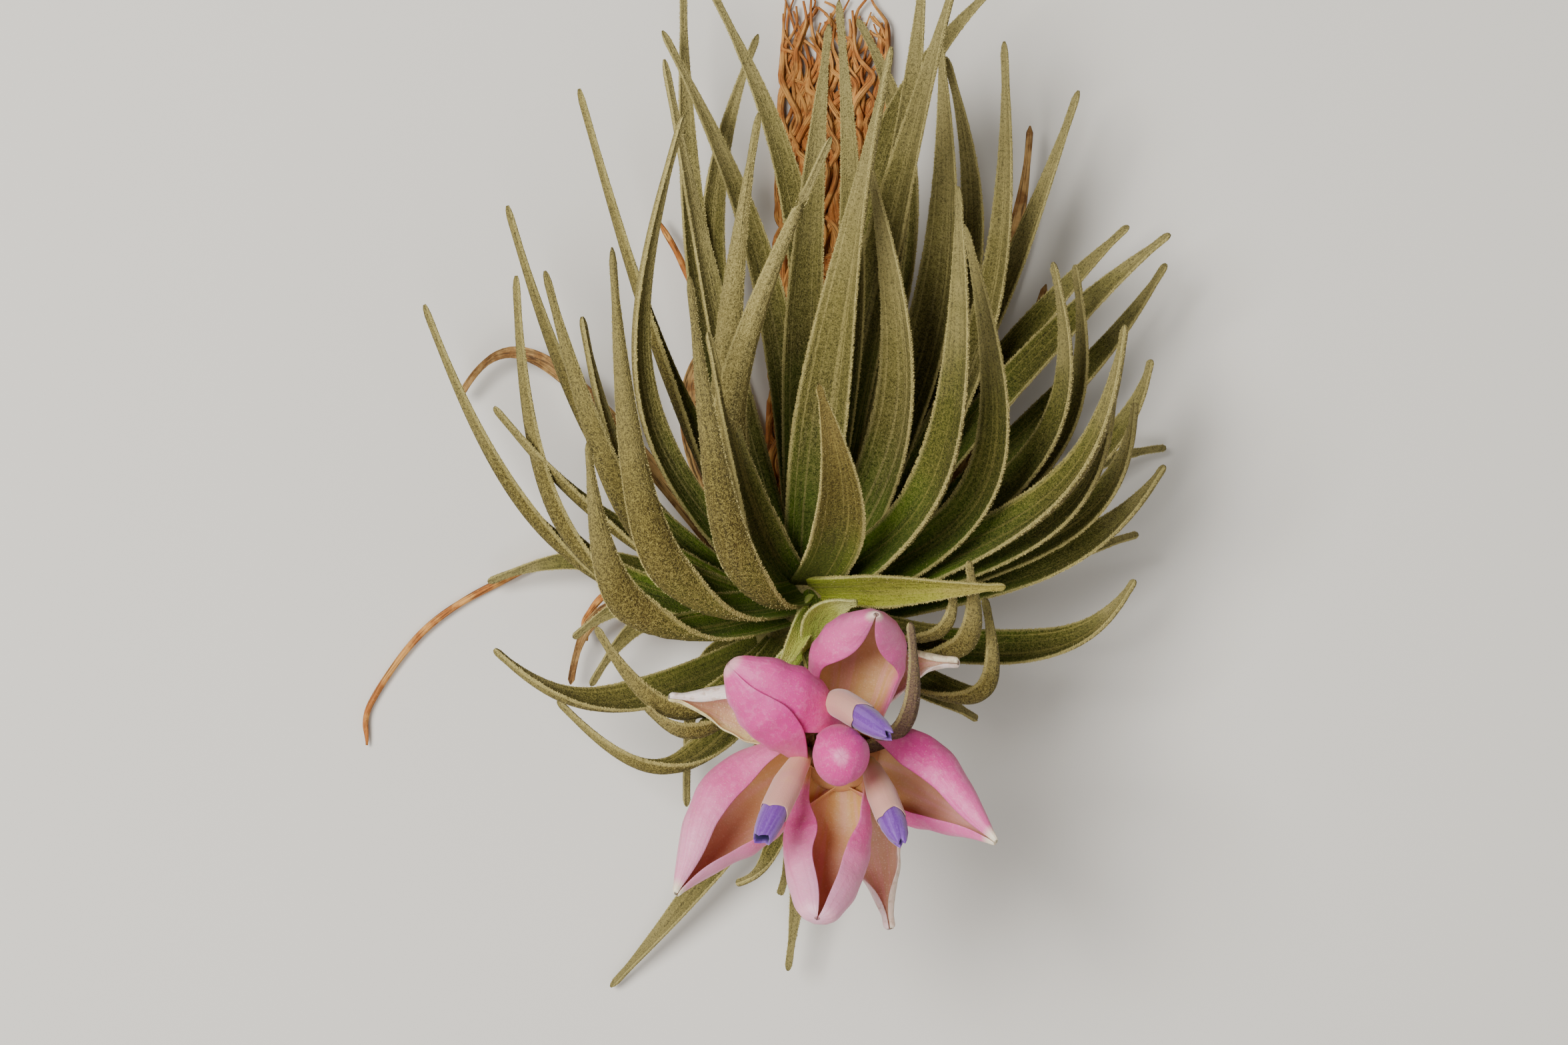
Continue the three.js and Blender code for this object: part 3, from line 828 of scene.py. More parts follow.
@dataclass(frozen=True)
class Leaf(Shape):
    """A channelled leaf blade, with its turn about its own line in degrees."""

    base: Place
    width: float
    knee: Place
    tip: Place
    turn: float = 0.0
    thickness: float = 1.15
    tip_thickness: float = 0.8
    facing: Line = towards_bowl
    # How far the blade sways about its line, in radians.
    wobble: float = 0.0
    # The half width at the base, as a share of the widest, and at the tip, in millimetres.
    base_share: float = 0.84
    tip_half: float = 0.45
    # Where the blade is widest, and how it narrows from there to its tip.
    widest: float = 0.4
    taper: float = 1.5
    point: float = 0.75
    # How deep the channel is in half widths, how far it has opened at the base, and how fast it opens.
    channel: float = 0.62
    opening: Span = (0.35, 1.4)
    # Share of the length that takes up the turn, how steep the sway is, and how wobble shifts it.
    turned_by: float = 0.6
    sway: Span = (7, 30)
    # How much of its width times its length a blade covers.
    fullness: float = 0.8

    def place(self, across: Rows, through: Rows, share: Rows) -> Rows:
        """Places in millimetres, as Shape says."""
        sway = self.wobble * np.sin(share * self.sway[0] + self.wobble * self.sway[1])
        turn = math.radians(self.turn) * ease(share, 0, self.turned_by) + sway
        line = course(conic(self.base, self.knee, self.tip), self.facing, share).turned(turn)
        narrow = np.maximum(0, 1 - past(share, self.widest) ** self.taper) ** self.point
        swell = mix(self.base_share, 1, rising(share / self.widest))
        half = np.maximum(self.tip_half, self.width / 2 * np.where(share < self.widest, swell, narrow))
        depth = half * self.channel * rising(np.minimum(1, self.opening[0] + share * self.opening[1]))
        thick = mix(self.thickness, self.tip_thickness, share)
        edge, end = bulge(across, EDGE_BLUNT), tip_rounding(share)
        up = depth * (edge * edge - 0.5) + thick / 2 * bulge(through, FACE_BLUNT) * end
        return line.beside(half * edge * end, up)

    @property
    def area(self) -> float:
        """Rough area of one face in square millimetres."""
        return self.width * float(np.linalg.norm(array(self.tip) - array(self.base))) * self.fullness


class LeafRow(Enum):
    """Leaves of one side of the rosette, by name, silveriness, and rows of
    seat along the stem (0 foot, 1 heart), blade width, knee, tip and turn in degrees."""

    FRONT = ("leaves_front", 0.1, (
        (0.86, 5.2, (-17, -15, 53), (-20, 32, 52), 68),
        (0.93, 4.8, (-6.5, -12.5, 52), (-11, 28.5, 54), 40),
        (0.88, 5.7, (-3, -5, 40), (-9, 22.5, 44), -35),
        (0.76, 5.3, (-21, -17.5, 49), (-23, 9.5, 47), 65),
        (0.86, 6.6, (22, 0.5, 46), (20.5, 39.5, 46), 45),
        (0.78, 6.2, (31, -0.5, 38), (21.5, 35.5, 38), 30),
    ))
    HEART = ("leaf_heart", 0.0, (
        (0.98, 6.2, (8.5, -0.5, 48), (4, 16, 56), 0),
    ))
    YOUNG = ("leaf_young", 0.0, (
        (0.97, 4.4, (12, -8, 44), (26, -7.5, 47), 0),
    ))
    LEFT = ("leaves_left", 0.3, (
        (0.5, 4.8, (-31, -9.5, 26), (-32.5, 30, 27), 42),
        (0.62, 5.3, (-18.5, -9, 38), (-28.5, 30, 38), 60),
        (0.4, 4.4, (-31, -8.5, 18), (-44.5, 27, 16), 42),
        (0.36, 4.4, (-23.5, 2, 16), (-34, 39, 20), 57),
        (0.34, 4.4, (-13.5, 12, 20), (-25, 53, 24), 50),
        (0.45, 4, (-22.5, -1.5, 22), (-35, 14, 30), 42),
        (0.14, 3.1, (-23, -1.5, 9), (-37.5, -7.5, 3.4), 0),
        (0.2, 3.1, (-18, -7, 10), (-26.5, -14.5, 8), 0),
        (0.3, 4, (-20.5, -0.5, 14), (-25, 25.5, 16), 22),
    ))
    UPPER = ("leaves_upper", 0.8, (
        (0.52, 4, (-23.5, 11.5, 30), (-12, 48.5, 38), 0),
        (0.42, 4.4, (-6, 11.5, 26), (-14.5, 56, 30), 0),
        (0.32, 4, (1, 30, 16), (-15, 60.5, 20), 0),
        (0.28, 4.4, (-12.5, 25.5, 12), (-12.5, 67.5, 16), 0),
        (0.6, 4.8, (-10.5, 6.5, 36), (-3, 48.5, 42), 110),
        (0.66, 4.6, (-13, 6, 42), (5.5, 45, 50), 110),
        (0.34, 4, (5.5, 38.5, 16), (-9, 65, 26), 0),
        (0.84, 6.6, (3.5, 11.5, 34), (12.5, 55.5, 50), 0),
        (0.74, 6.6, (18, 11.5, 30), (10, 43, 40), 0),
        (0.5, 5.7, (11, 31, 26), (20.5, 65, 44), 0),
        (0.4, 4.4, (8.5, 50, 16), (26.5, 66, 26), 0),
        (0.56, 4, (10, 25, 34), (6.5, 62, 40), 0),
        (0.3, 4, (20.5, 43.5, 12), (9, 62, 20), 0),
        (0.48, 4.4, (15, 38, 20), (17, 69, 34), 0),
        (0.42, 6.2, (22, 23.5, 20), (19, 58.5, 28), 0),
        (0.34, 4.4, (28.5, 30.5, 12), (20, 57.5, 18), 0),
        (0.44, 4.8, (29, 20, 18), (27, 59, 22), 0),
        (0.34, 4.4, (26, 22, 12), (36.5, 53.5, 16), 0),
        (0.46, 4.8, (1.5, 26, 22), (5.5, 60.5, 28), 0),
        (0.24, 4, (-14, 34, 10), (-3.2, 60.5, 16), 0),
    ))
    RIGHT = ("leaves_right", 0.35, (
        (0.62, 4.4, (38.5, 7, 28), (32.5, 31.5, 30), 12),
        (0.54, 4, (40, 7, 22), (35.5, 31.5, 24), 12),
        (0.3, 4, (30.5, 25.5, 10), (43, 37, 12), 0),
        (0.38, 4.4, (34, 25, 16), (47.5, 35.5, 20), 0),
        (0.28, 4, (39.5, 18.5, 8), (48, 32.5, 8), 0),
        (0.72, 5.7, (37.5, 0.5, 38), (40.5, 23.5, 40), 12),
        (0.66, 4.8, (38, -2, 33), (39.5, 16, 35), 12),
        (0.58, 4.8, (41.5, -1.5, 27), (42.5, 14.5, 29), 12),
        (0.48, 4.4, (42.5, 7, 20), (45, 20, 22), 12),
        (0.16, 3.1, (35.5, 8, 6), (48.5, 9.5, 1.3), 0),
        (0.54, 5.3, (38.5, -5.5, 24), (46.5, 7, 24), 0),
        (0.24, 3.1, (33.5, -4.5, 12), (44.5, -1.5, 8), 0),
        (0.44, 4.8, (36.5, -18.5, 20), (43, -7, 22), 0),
    ))
    LOWER = ("leaves_lower", 0.5, (
        (0.7, 4.6, (25, -20, 36), (21.8, -4.5, 43), -50),
        (0.76, 3.5, (20.5, -16, 39), (20, -7.5, 42), -30),
        (0.56, 4.4, (28, -27, 32), (24, -9, 36), -45),
        (0.3, 2.6, (18.5, -21, 18), (24, -24.5, 14), 0),
        (0.44, 4.8, (-23.5, -26.5, 22), (-35.5, -15.5, 22), 15),
        (0.58, 4.4, (-13, -29, 34), (-22.5, -12.5, 36), 45),
        (0.36, 4.4, (-13.5, -37, 16), (-28, -22, 16), 35),
        (0.62, 4, (-10, -29, 34), (-16.5, -22, 36), 45),
        (0.18, 2.6, (-12.5, -13, 9), (-12.3, -35.8, 6), 0),
        (0.22, 5.3, (-2, -37, 10), (-22, -59, 1.3), 0),
        (0.28, 2.6, (0, -43.5, 14), (-6, -45, 12), 0),
        (0.2, 2.6, (2, -39, 8), (-0.5, -47, 5), 0),
        (0.24, 4, (3.5, -34.5, 9), (0.5, -56.5, 6), 0),
        (0.22, 3.1, (-17, -7.5, 9), (-24.3, -20.5, 8), 0),
    ))

    @property
    def leaves(self) -> list[Leaf]:
        """Makes the leaves of this side.

        Returns:
            One leaf for each row.
        """
        facing = towards_viewer if self in (LeafRow.HEART, LeafRow.YOUNG) else towards_bowl
        seats = ((mix(STEM_FOOT, STEM_HEART, row[0]), row) for row in self.value[2])
        return [Leaf(tuple(seat), *row[1:], facing=facing, wobble=0.05 + 0.02 * (i % 4))
                for i, (seat, row) in enumerate(seats)]


# Coats of the sides that differ from the others, and of the bracts on the scape and the spur leaf.
OWN_COATS = {
    LeafRow.HEART: LeafFinish("heart_coat", rgb("505e08"), rgb("544812"), rgb("5e5024"), rgb("7c6834"),
                              edge=rgb("c6b676")),
    LeafRow.LOWER: LeafFinish("lower_coat", rgb("4e580c"), rgb("4c4814")),
    LeafRow.UPPER: LeafFinish("upper_coat", inside=rgb("464406"), silver=rgb("9e9050"), scale=rgb("c4b46e")),
    LeafRow.YOUNG: LeafFinish("young_coat", rgb("9ea82c"), rgb("989a30"), rgb("8c8c38"), rgb("a09048"),
                              edge=rgb("d8cc88"), cover=0.85),
}
SCAPE_COAT = LeafFinish("scape_coat", rgb("b4c850"), rgb("b4bc50"), rgb("b4c454"), rgb("c4c478"),
                        rgb("c8cc80"), edge=rgb("dcd894"), cover=0.35)
SPUR_COAT = LeafFinish("spur_coat", rgb("6a4d50"), rgb("5a4240"), rgb("6a5048"), rgb("7a6450"), cover=0.5)


@dataclass(frozen=True)
class LeafScales:
    """The silvery scales of a leaf's coat whose free ends stand off it, thickest along its edges."""

    # Scales to a square millimetre, and their length, half width and depth in the leaf.
    density: float = 5.8
    length: Span = (0.08, 0.2)
    half_width: float = 0.055
    sunk: float = 0.05
    # Share of the scales that stand at an edge, and how far round it they spread in radians.
    edge_share: float = 0.78
    edge_spread: float = 0.26
    # Where they grow along the leaf, and how they lean towards its tip and to its sides.
    reach: Span = (0.12, 0.992)
    lean: Span = (0.15, 0.75)
    side_lean: float = 0.25

    def spikes(self, leaf: Leaf, draw: Draw) -> Rows:
        """Corners of the scales of one leaf.

        Args:
            leaf: the leaf.
            draw: gives the random numbers.

        Returns:
            Four corners for each scale, in millimetres: three at its foot and its tip.
        """
        count = int(leaf.area * 2 * self.density)
        angle = draw.uniform(0, 2 * math.pi, count)
        edges = draw.random(count) < self.edge_share
        side = draw.integers(0, 2, count) * math.pi
        angle = np.where(edges, side + draw.normal(0, self.edge_spread, count), angle)
        share = draw.uniform(*self.reach, count)

        def spot(turn: float, ahead: float) -> Rows:
            """Places on the leaf's skin, turned round it and ahead along it from each scale."""
            place = angle + turn
            return leaf.place(np.cos(place), np.sin(place), np.clip(share + ahead, 0, 1))

        foot, along = spot(0, 0), unit(spot(0, STEP / 2) - spot(0, -STEP / 2))
        out = unit(np.cross(spot(STEP * 5, 0) - spot(-STEP * 5, 0), along))
        aside = np.cross(along, out)
        lean = draw.uniform(*self.lean, count)[:, None]
        point = unit(out + along * lean + aside * draw.normal(0, self.side_lean, (count, 1)))
        length = draw.uniform(*self.length, count)[:, None]
        corners = [foot - out * self.sunk + (aside * math.cos(a) + along * math.sin(a)) * self.half_width
                   for a in (0, 2 * math.pi / 3, 4 * math.pi / 3)]
        return np.stack([*corners, foot + point * length], axis=1)

    def made(self, leaves: Sequence[Leaf], name: str, seed: int) -> Piece:
        """Makes the scales of several leaves as closed little spikes in one mesh.

        Args:
            leaves: the leaves.
            name: name of the piece.
            seed: seed of the random draw.

        Returns:
            The piece.
        """
        draw = np.random.default_rng(seed)
        corners = np.concatenate([self.spikes(leaf, draw) for leaf in leaves])
        first = np.arange(len(corners))[:, None, None] * 4
        faces = (first + np.array([[0, 2, 1], [0, 1, 3], [1, 2, 3], [2, 0, 3]])).reshape(-1, 3)
        mesh = bpy.data.meshes.new(name)
        mesh.from_pydata(((corners.reshape(-1, 3) - MIDDLE) * MM).tolist(), [], faces.tolist())
        return placed(mesh)


@dataclass(frozen=True)
class Tube(Shape):
    """A round piece along a line, with its radius given at shares of its length."""

    trace: Line
    outline: Sequence[Span]
    facing: Line = upwards
    ripple: float = 0.0
    phase: float = 0.0

    def place(self, across: Rows, through: Rows, share: Rows) -> Rows:
        """Places in millimetres, as Shape says."""
        angle = np.arctan2(through, across)
        radius = np.interp(share, *zip(*self.outline))
        radius = radius * (1 + self.ripple * np.sin(angle * 3 + share * 19 + self.phase))
        return course(self.trace, self.facing, share).beside(across * radius, through * radius)


@dataclass(frozen=True)
class Rosette:
    """The green rosette: its stem, its leaves and the scape with the bracts that clasp it."""

    blade: Rod = Rod(20, 40, 1.5)
    core: Rod = Rod(24, 24)
    scales: LeafScales = LeafScales()
    seed: int = 11
    # How much leaves of one side differ in silveriness.
    tone_spread: float = 0.12
    # How many leaves one piece of scales covers, and the seed of the first such piece.
    coat_lot: int = 10
    coat_seed: int = 100
    scape_coat_seed: int = 120
    scape_path: Sequence[Place] = ((3, -8, 32), (3.6, -14, 36), (5, -21, 37.5), (6.4, -26.4, 41.5))
    scape_radius: float = 1.8
    # Start, knee, tip and width of the bracts on the scape.
    scape_bracts: Sequence[tuple[Place, Place, Place, float]] = (
        ((3, -9, 33), (2.2, -13, 42), (-1.6, -19.5, 38), 2.7),
        ((4, -15.5, 37), (4, -10, 42.5), (8.6, -9.4, 45), 4.6),
        ((3.5, -13, 35), (-3, -20, 36), (-5, -25, 34), 3),
    )

    def build(self) -> None:
        """Builds every piece of the rosette."""
        coat, scale_coat = LeafFinish().made(), LEAF_SCALES.made()
        own_coats = {row: finish.made() for row, finish in OWN_COATS.items()}
        draw = np.random.default_rng(self.seed)
        for number, row in enumerate(LeafRow):
            name, silver, _ = row.value
            leaves, spread = row.leaves, self.tone_spread
            marks = [{"seed": draw.random(), "tone": silver + draw.uniform(-spread, spread)} for _ in leaves]
            self.settle(self.blade.bend(leaves, marks, name), own_coats.get(row, coat))
            for part, first in enumerate(range(0, len(leaves), self.coat_lot)):
                lot, seed = leaves[first:first + self.coat_lot], self.coat_seed + 10 * number + part
                self.settle(self.scales.made(lot, f"scales_of_{name}_{part}", seed), scale_coat)
        self.build_stem(coat)
        self.build_scape(coat, scale_coat)

    def settle(self, piece: Piece, finish: Finish) -> None:
        """Gives a piece its finish and its place in the rosette."""
        settle(piece, finish, "rosette")

    def build_stem(self, coat: Finish) -> None:
        """Builds the stem, which is cut level at its foot.

        Args:
            coat: the leaf finish.
        """
        length = float(np.linalg.norm(STEM_HEART - STEM_FOOT))

        def rise(share: Rows) -> Rows:
            """Places on the stem's middle line."""
            return STEM_FOOT + STEM_AXIS * (share * length)[:, None]

        tube = Tube(rise, STEM_OUTLINE, towards_head, 0.03)
        stem = self.core.bend([tube], [{"seed": 0.3, "tone": 0.0}], "green_stem")
        spots = points_of(stem)
        spots[:, 2] = np.maximum(spots[:, 2], STEM_FOOT[2] * MM)
        put_points(stem, spots)
        self.settle(stem, coat)

    def build_scape(self, coat: Finish, scale_coat: Finish) -> None:
        """Builds the scape and its bracts.

        Args:
            coat: the leaf finish.
            scale_coat: the finish of free scales.
        """
        outline = ((0, self.scape_radius), (1, self.scape_radius))
        tube = Tube(spline(self.scape_path), outline, towards_head, 0.05)
        self.settle(self.core.bend([tube], [{"seed": 0.6, "tone": 0.1}], "scape"), coat)
        bracts = [Leaf(start, width, knee, tip, facing=towards_viewer)
                  for start, knee, tip, width in self.scape_bracts]
        marks = [{"seed": 0.2 * i, "tone": 0.0} for i in range(len(bracts))]
        self.settle(self.blade.bend(bracts, marks, "scape_bracts"), SCAPE_COAT.made())
        self.settle(self.scales.made(bracts, "scales_of_scape", self.scape_coat_seed), scale_coat)


@dataclass(frozen=True)
class Bract(Shape):
    """A floral bract, rolled like a boat and open towards the head's axis unless turned."""

    knee: Place
    tip: Place
    radius: float
    # How far round the bract goes to each side of its middle line, in radians.
    wrap: float
    turn: float = 0.0
    blunt: float = 0.9
    wave: float = 0.0
    lap: float = 0.0
    # Share of the length where the slot begins to close, and how far round the tip is closed.
    closes: float = 0.7
    tip_wrap: float = 3.0
    # Depth of the creases in the sheet, how steep their waves are along and across it, broad ones
    # and fine ones, and how deep the fine ones are beside the broad ones.
    crease: float = 0.13
    broad_creases: Sequence[Span] = ((17, 4), (-9, 5))
    fine_creases: Sequence[Span] = ((31, -7), (0, 11))
    fine_share: float = 0.6
    # How steep the waves of the rim are, how blunt the edges are, and how near to them the rim keeps.
    rim_waves: float = 11
    edge_blunt: float = 0.75
    rim_power: int = 4
    thickness: float = 0.7
    rim_thinning: float = 0.45
    # Depth of the boat in radii, and the radius that its tip keeps.
    depth: float = 0.7
    tip_radius: float = 0.4
    # Radius and wrap at the base, and the share of the length where both are full.
    base_share: float = 0.62
    base_wrap: float = 1.8
    full: float = 0.45

    def place(self, across: Rows, through: Rows, share: Rows) -> Rows:
        """Places in millimetres, as Shape says."""
        line = course(conic(HEAD_MIDDLE, self.knee, self.tip), towards_head, share)
        swell = rising(np.minimum(1, share / self.full))
        narrow = np.clip(np.cos(past(share, self.full) * math.pi / 2), 0, 1) ** self.blunt
        size = np.maximum(self.tip_radius, self.radius * mix(self.base_share, 1, swell) * narrow)
        edge = bulge(across, self.edge_blunt)
        rim = np.abs(edge) ** self.rim_power
        wrap = mix(self.wrap, max(self.wrap, self.tip_wrap), ease(share, self.closes, 1))
        angle = edge * mix(self.base_wrap, wrap, swell)
        angle = angle + self.wave * rim * np.sin(share * self.rim_waves + edge) * swell
        thick = self.thickness * (1 - self.rim_thinning * rim) * tip_rounding(share)
        fold = crossed(share, edge, zip(self.broad_creases, (self.turn, 0)))
        fold = fold + self.fine_share * crossed(share, edge, zip(self.fine_creases, (0, self.radius)))
        reach = size * (1 + self.lap * edge) + self.crease * fold * swell * np.sqrt(narrow)
        reach = reach - thick / 2 * bulge(through, FACE_BLUNT)
        up = -reach * np.cos(angle) * self.depth
        return line.turned(math.radians(self.turn)).beside(reach * np.sin(angle), up)


class BractKind(Enum):
    """Floral bracts by name, shape and tint: how bleached, faded to the tip, green and pale-tipped."""

    TOP = ("bract_top", Bract((9, -13.5, 45), (10.6, -10.6, 57), 5.5, 2.1, 14, 0.8, closes=0.3),
           (0.05, 0.2, 0, 0.6))
    UPPER_LEFT = ("bract_upper_left",
                  Bract((-0.5, -20.5, 56), (-6.4, -16.2, 58), 4.9, 3.3, -15, 0.5, 0.08, 0.09, crease=0.2),
                  (0, 0.15, 0, 0.35))
    FAR_LEFT = ("bract_far_left", Bract((-4.5, -21.5, 43), (-13.5, -20.5, 46), 3.7, 2.2, -35, 1.1),
                (1, 1, 1, 0.9))
    LOWER_LEFT = ("bract_lower_left", Bract((-7, -33, 45), (-12.5, -43, 54), 5.5, 2.6, -15, 0.8),
                  (0.1, 0.9, 0, 0.9))
    BOTTOM = ("bract_bottom", Bract((5, -38.5, 47), (3.8, -45.5, 58), 4.9, 2.65, -8, 0.34, 0.1, closes=0.6),
              (0.08, 1, 0, 0.12))
    PALE_LOWER = ("bract_pale_lower", Bract((11, -38, 38.5), (12.5, -48, 43), 3.3, 1.9, 0, 1.1),
                  (0.8, 1, 0.3, 0.9))
    LOWER_RIGHT = ("bract_lower_right", Bract((16, -29.5, 45), (24.5, -37, 54), 5.4, 2.65, 22, 0.8),
                   (0, 0.3, 0, 0.9))
    PALE_RIGHT = ("bract_pale_right", Bract((12.5, -16, 38), (20.5, -16.5, 45), 2.2, 1.8, 0, 1.0),
                  (1, 1, 0.5, 0.9))

    @property
    def marks(self) -> Marks:
        """What the bract finish reads."""
        return dict(zip(("tone", "fade", "green", "cap"), self.value[2]))


@dataclass(frozen=True)
class Bud(Shape):
    """The central bud: bracts rolled round each other to a blunt end."""

    radius: float = 3.35
    height: float = 19.0
    # Height of the domed end in radii, and the radius of the foot as a share of the full one.
    dome: float = 1.2
    foot: float = 0.8
    # Share of the height where the foot has widened to the full radius.
    foot_full: float = 0.3
    # How far a bract stands out over the next, how many lap, and how far they wind under the dome.
    overlap: float = 0.09
    laps: int = 3
    twist: float = 0.5
    # Share of a bract where its edge falls off to the next, and share of the dome that is smooth.
    lap_edge: float = 0.93
    smooth_end: float = 0.35
    # Height of the ribs as a share of the radius, and how many there are.
    ribs: float = 0.03
    rib_count: int = 2
    # Shares of the height, and how pale the bud is there on the scale of an open bract's length.
    ripeness: Sequence[Span] = ((0, 0), (0.985, 0.5), (0.998, 0.85))

    def place(self, across: Rows, through: Rows, share: Rows) -> Rows:
        """Places in millimetres, as Shape says."""
        def rise(along: Rows) -> Rows:
            """Places on the bud's middle line."""
            return HEAD_MIDDLE + HEAD_AXIS * (along * self.height)[:, None]

        left = np.clip((1 - share) / (self.radius * self.dome / self.height), 0, 1)
        radius = self.radius * np.sqrt(np.clip(1 - (1 - left) ** 2, 0.0004, 1))
        radius = radius * mix(self.foot, 1, ease(share, 0, self.foot_full))
        angle = (np.arctan2(through, across) / (2 * math.pi) + 0.25) % 1
        turn = (angle * self.laps + self.twist * left) % 1
        fold = self.overlap * turn * ease(turn, 1, self.lap_edge) * ease(left, 0.0, self.smooth_end)
        ribs = 1 + self.ribs * np.cos(angle * self.rib_count * 2 * math.pi)
        radius = radius * (1 - self.overlap / 2 + fold) * ribs
        return course(rise, always(0, -1, 0), share).beside(across * radius, through * radius)


@dataclass(frozen=True)
class FlowerHead:
    """The head of bracts, its bud, its core and the narrow leaf that stands between two bracts."""

    sheet: Rod = Rod(44, 40, 1.3)
    bud_rod: Rod = Rod(48, 40, 1.8)
    blade: Rod = Rod(20, 40, 1.5)
    seed: int = 29
    core_radius: float = 4.6
    core_sunk: float = 1.6
    core_ripple: float = 0.04
    spur: Leaf = Leaf(tuple(HEAD_MIDDLE), 3.0, (16.5, -25.5, 48), (14.5, -11.5, 58), 10)
    spur_seed: int = 130

    def build(self) -> None:
        """Builds every piece of the flower head."""
        finish = BractFinish().made()
        draw = np.random.default_rng(self.seed)
        for kind in BractKind:
            name, bract, _ = kind.value
            marks = [{"seed": draw.random(), **kind.marks}]
            settle(self.sheet.bend([bract], marks, name), finish, "flower_head")
        plain = {"tone": 0.0, "green": 0.0, "cap": 0.9}
        bud = self.bud_rod.bend([Bud()], [{"seed": 0.5, "fade": 0.8, **plain}], "bud")
        ripe = np.interp(marks_of(bud, "along"), *zip(*Bud.ripeness))
        put_marks(bud, {"along": ripe, "face": -1.0})
        settle(bud, finish, "flower_head")
        settle(self.core(plain), finish, "flower_head")
        spur = self.blade.bend([self.spur], [{"seed": 0.8, "tone": 0.0}], "spur_leaf")
        settle(spur, SPUR_COAT.made(), "flower_head")
        scales = LeafScales().made([self.spur], "scales_of_spur", self.spur_seed)
        settle(scales, SPUR_SCALES.made(), "flower_head")

    def core(self, plain: Marks) -> Piece:
        """Builds the short axis that the bracts grow from.

        Args:
            plain: marks of a piece without a tint.

        Returns:
            The piece.
        """
        bpy.ops.object.select_all(action="DESELECT")
        bpy.ops.mesh.primitive_ico_sphere_add(subdivisions=4, radius=self.core_radius * MM)
        core = bpy.context.object
        spots = points_of(core)
        swell = 1 + self.core_ripple * np.sin(spots[:, 2:] / MM * 2)
        put_points(core, spots * swell + (HEAD_MIDDLE - HEAD_AXIS * self.core_sunk - MIDDLE) * MM)
        put_marks(core, {"across": 0.0, "face": 1.0, "along": 0.2, "seed": 0.4, "fade": 0.0, **plain})
        return joined([core], "head_core")


@dataclass(frozen=True)
class Sleeve(Shape):
    """A thin-walled tube on a bent line: its outside rises to a rim, and its inside goes back down.

    The outline's points are share of the rod, height along the line and radius.
    """

    foot: Place
    knee: Place
    tip: Place
    outline: Sequence[tuple[float, float, float]]
    scallop: float = 0.04
    lap: float = 0.05
    laps: int = 3
    # Share of the full height where the scallops of the rim begin.
    scallops_from: float = 0.8

    def place(self, across: Rows, through: Rows, share: Rows) -> Rows:
        """Places in millimetres, as Shape says."""
        shares, heights, radii = zip(*self.outline)
        laps = (np.arctan2(through, across) / (2 * math.pi) * self.laps) % 1
        rim = float(max(heights))
        height = np.interp(share, shares, heights)
        near_rim = ease(height, rim * self.scallops_from, rim)
        height = height + self.scallop * near_rim * (np.abs(laps - 0.5) * 2 - 0.5)
        radius = np.interp(share, shares, radii) * (1 - self.lap + self.lap * laps)
        line = course(conic(self.foot, self.knee, self.tip), upwards, height)
        return line.beside(across * radius, through * radius)


class Corolla(Enum):
    """Open flowers, each a cream sleeve with violet petals rolled inside it: name of the node,
    foot, knee and tip of its line, how wide its mouth is, and a number of its own."""

    UPPER = ("corolla_upper", ((6.4, -22.4, 47), (5, -19.6, 53.5), (12, -24.3, 63)), 0.3, 0.1)
    LEFT = ("corolla_left", ((2.6, -27, 47), (0.6, -29.6, 54), (-2.6, -36.4, 59.5)), 1.0, 0.5)
    RIGHT = ("corolla_right", ((10, -28.2, 47), (11, -30.6, 54), (13.4, -36.8, 60)), 0.2, 0.8)

    @property
    def shapes(self) -> list[Sleeve]:
        """Makes the shapes of this flower.

        Returns:
            Its sleeve and its rolled petals.
        """
        _, line, mouth, _ = self.value
        sleeve = ((0, 0, 0.9), (0.2, 0.12, 1.3), (0.6, 0.5, 1.8), (0.78, 0.815, 1.78),
                  (0.81, 0.83, 1.72), (0.84, 0.815, 1.64), (1, 0.6, 1.5))
        # Share of the rod, height, radius of a closed mouth, and what an open one adds to it.
        petals = ((0, 0.5, 1.4, 0), (0.2, 0.78, 1.62, 0), (0.45, 0.88, 1.6, 0), (0.66, 0.95, 1.22, 0.2),
                  (0.76, 0.985, 0.7, 0.5), (0.82, 0.998, 0.34, 0.7), (0.86, 0.985, 0.05, 0.85),
                  (1, 0.9, 0.03, 0.7))
        petals = [(share, height, radius + mouth * more) for share, height, radius, more in petals]
        return [Sleeve(*line, sleeve), Sleeve(*line, petals, 0.02, 0.07)]

    def build(self, finish: Finish) -> None:
        """Builds the sleeve and the petals as one piece.

        Args:
            finish: its finish.
        """
        name, _, _, seed = self.value
        marks = [{"seed": seed, "petal": 0.0}, {"seed": seed + 0.3, "petal": 1.0}]
        piece = Rod(36, 48).bend(self.shapes, marks, name)
        # The mouth mark covers where the petals turn back down inside the tube, and it is painted dark as
        # shade.
        put_marks(piece, {"mouth": ease(marks_of(piece, "along"), 0.82, 0.88) * marks_of(piece, "petal")})
        settle(piece, finish, name)


# The old stem, which the rosette stands on and the roots grow from: its middle and radius.
STUMP = (2.0, -17.0)
STUMP_RADIUS = 5.6
# The turn in radians from each leaf base or root to the next round the old stem.
NEXT_TURN = 2.4


def beside_stump(number: int, reach: float, level: float) -> Rows:
    """A place near the old stem, one turn further round it for each number."""
    angle = number * NEXT_TURN
    return array((STUMP[0] + reach * math.cos(angle), STUMP[1] + reach * math.sin(angle), level))


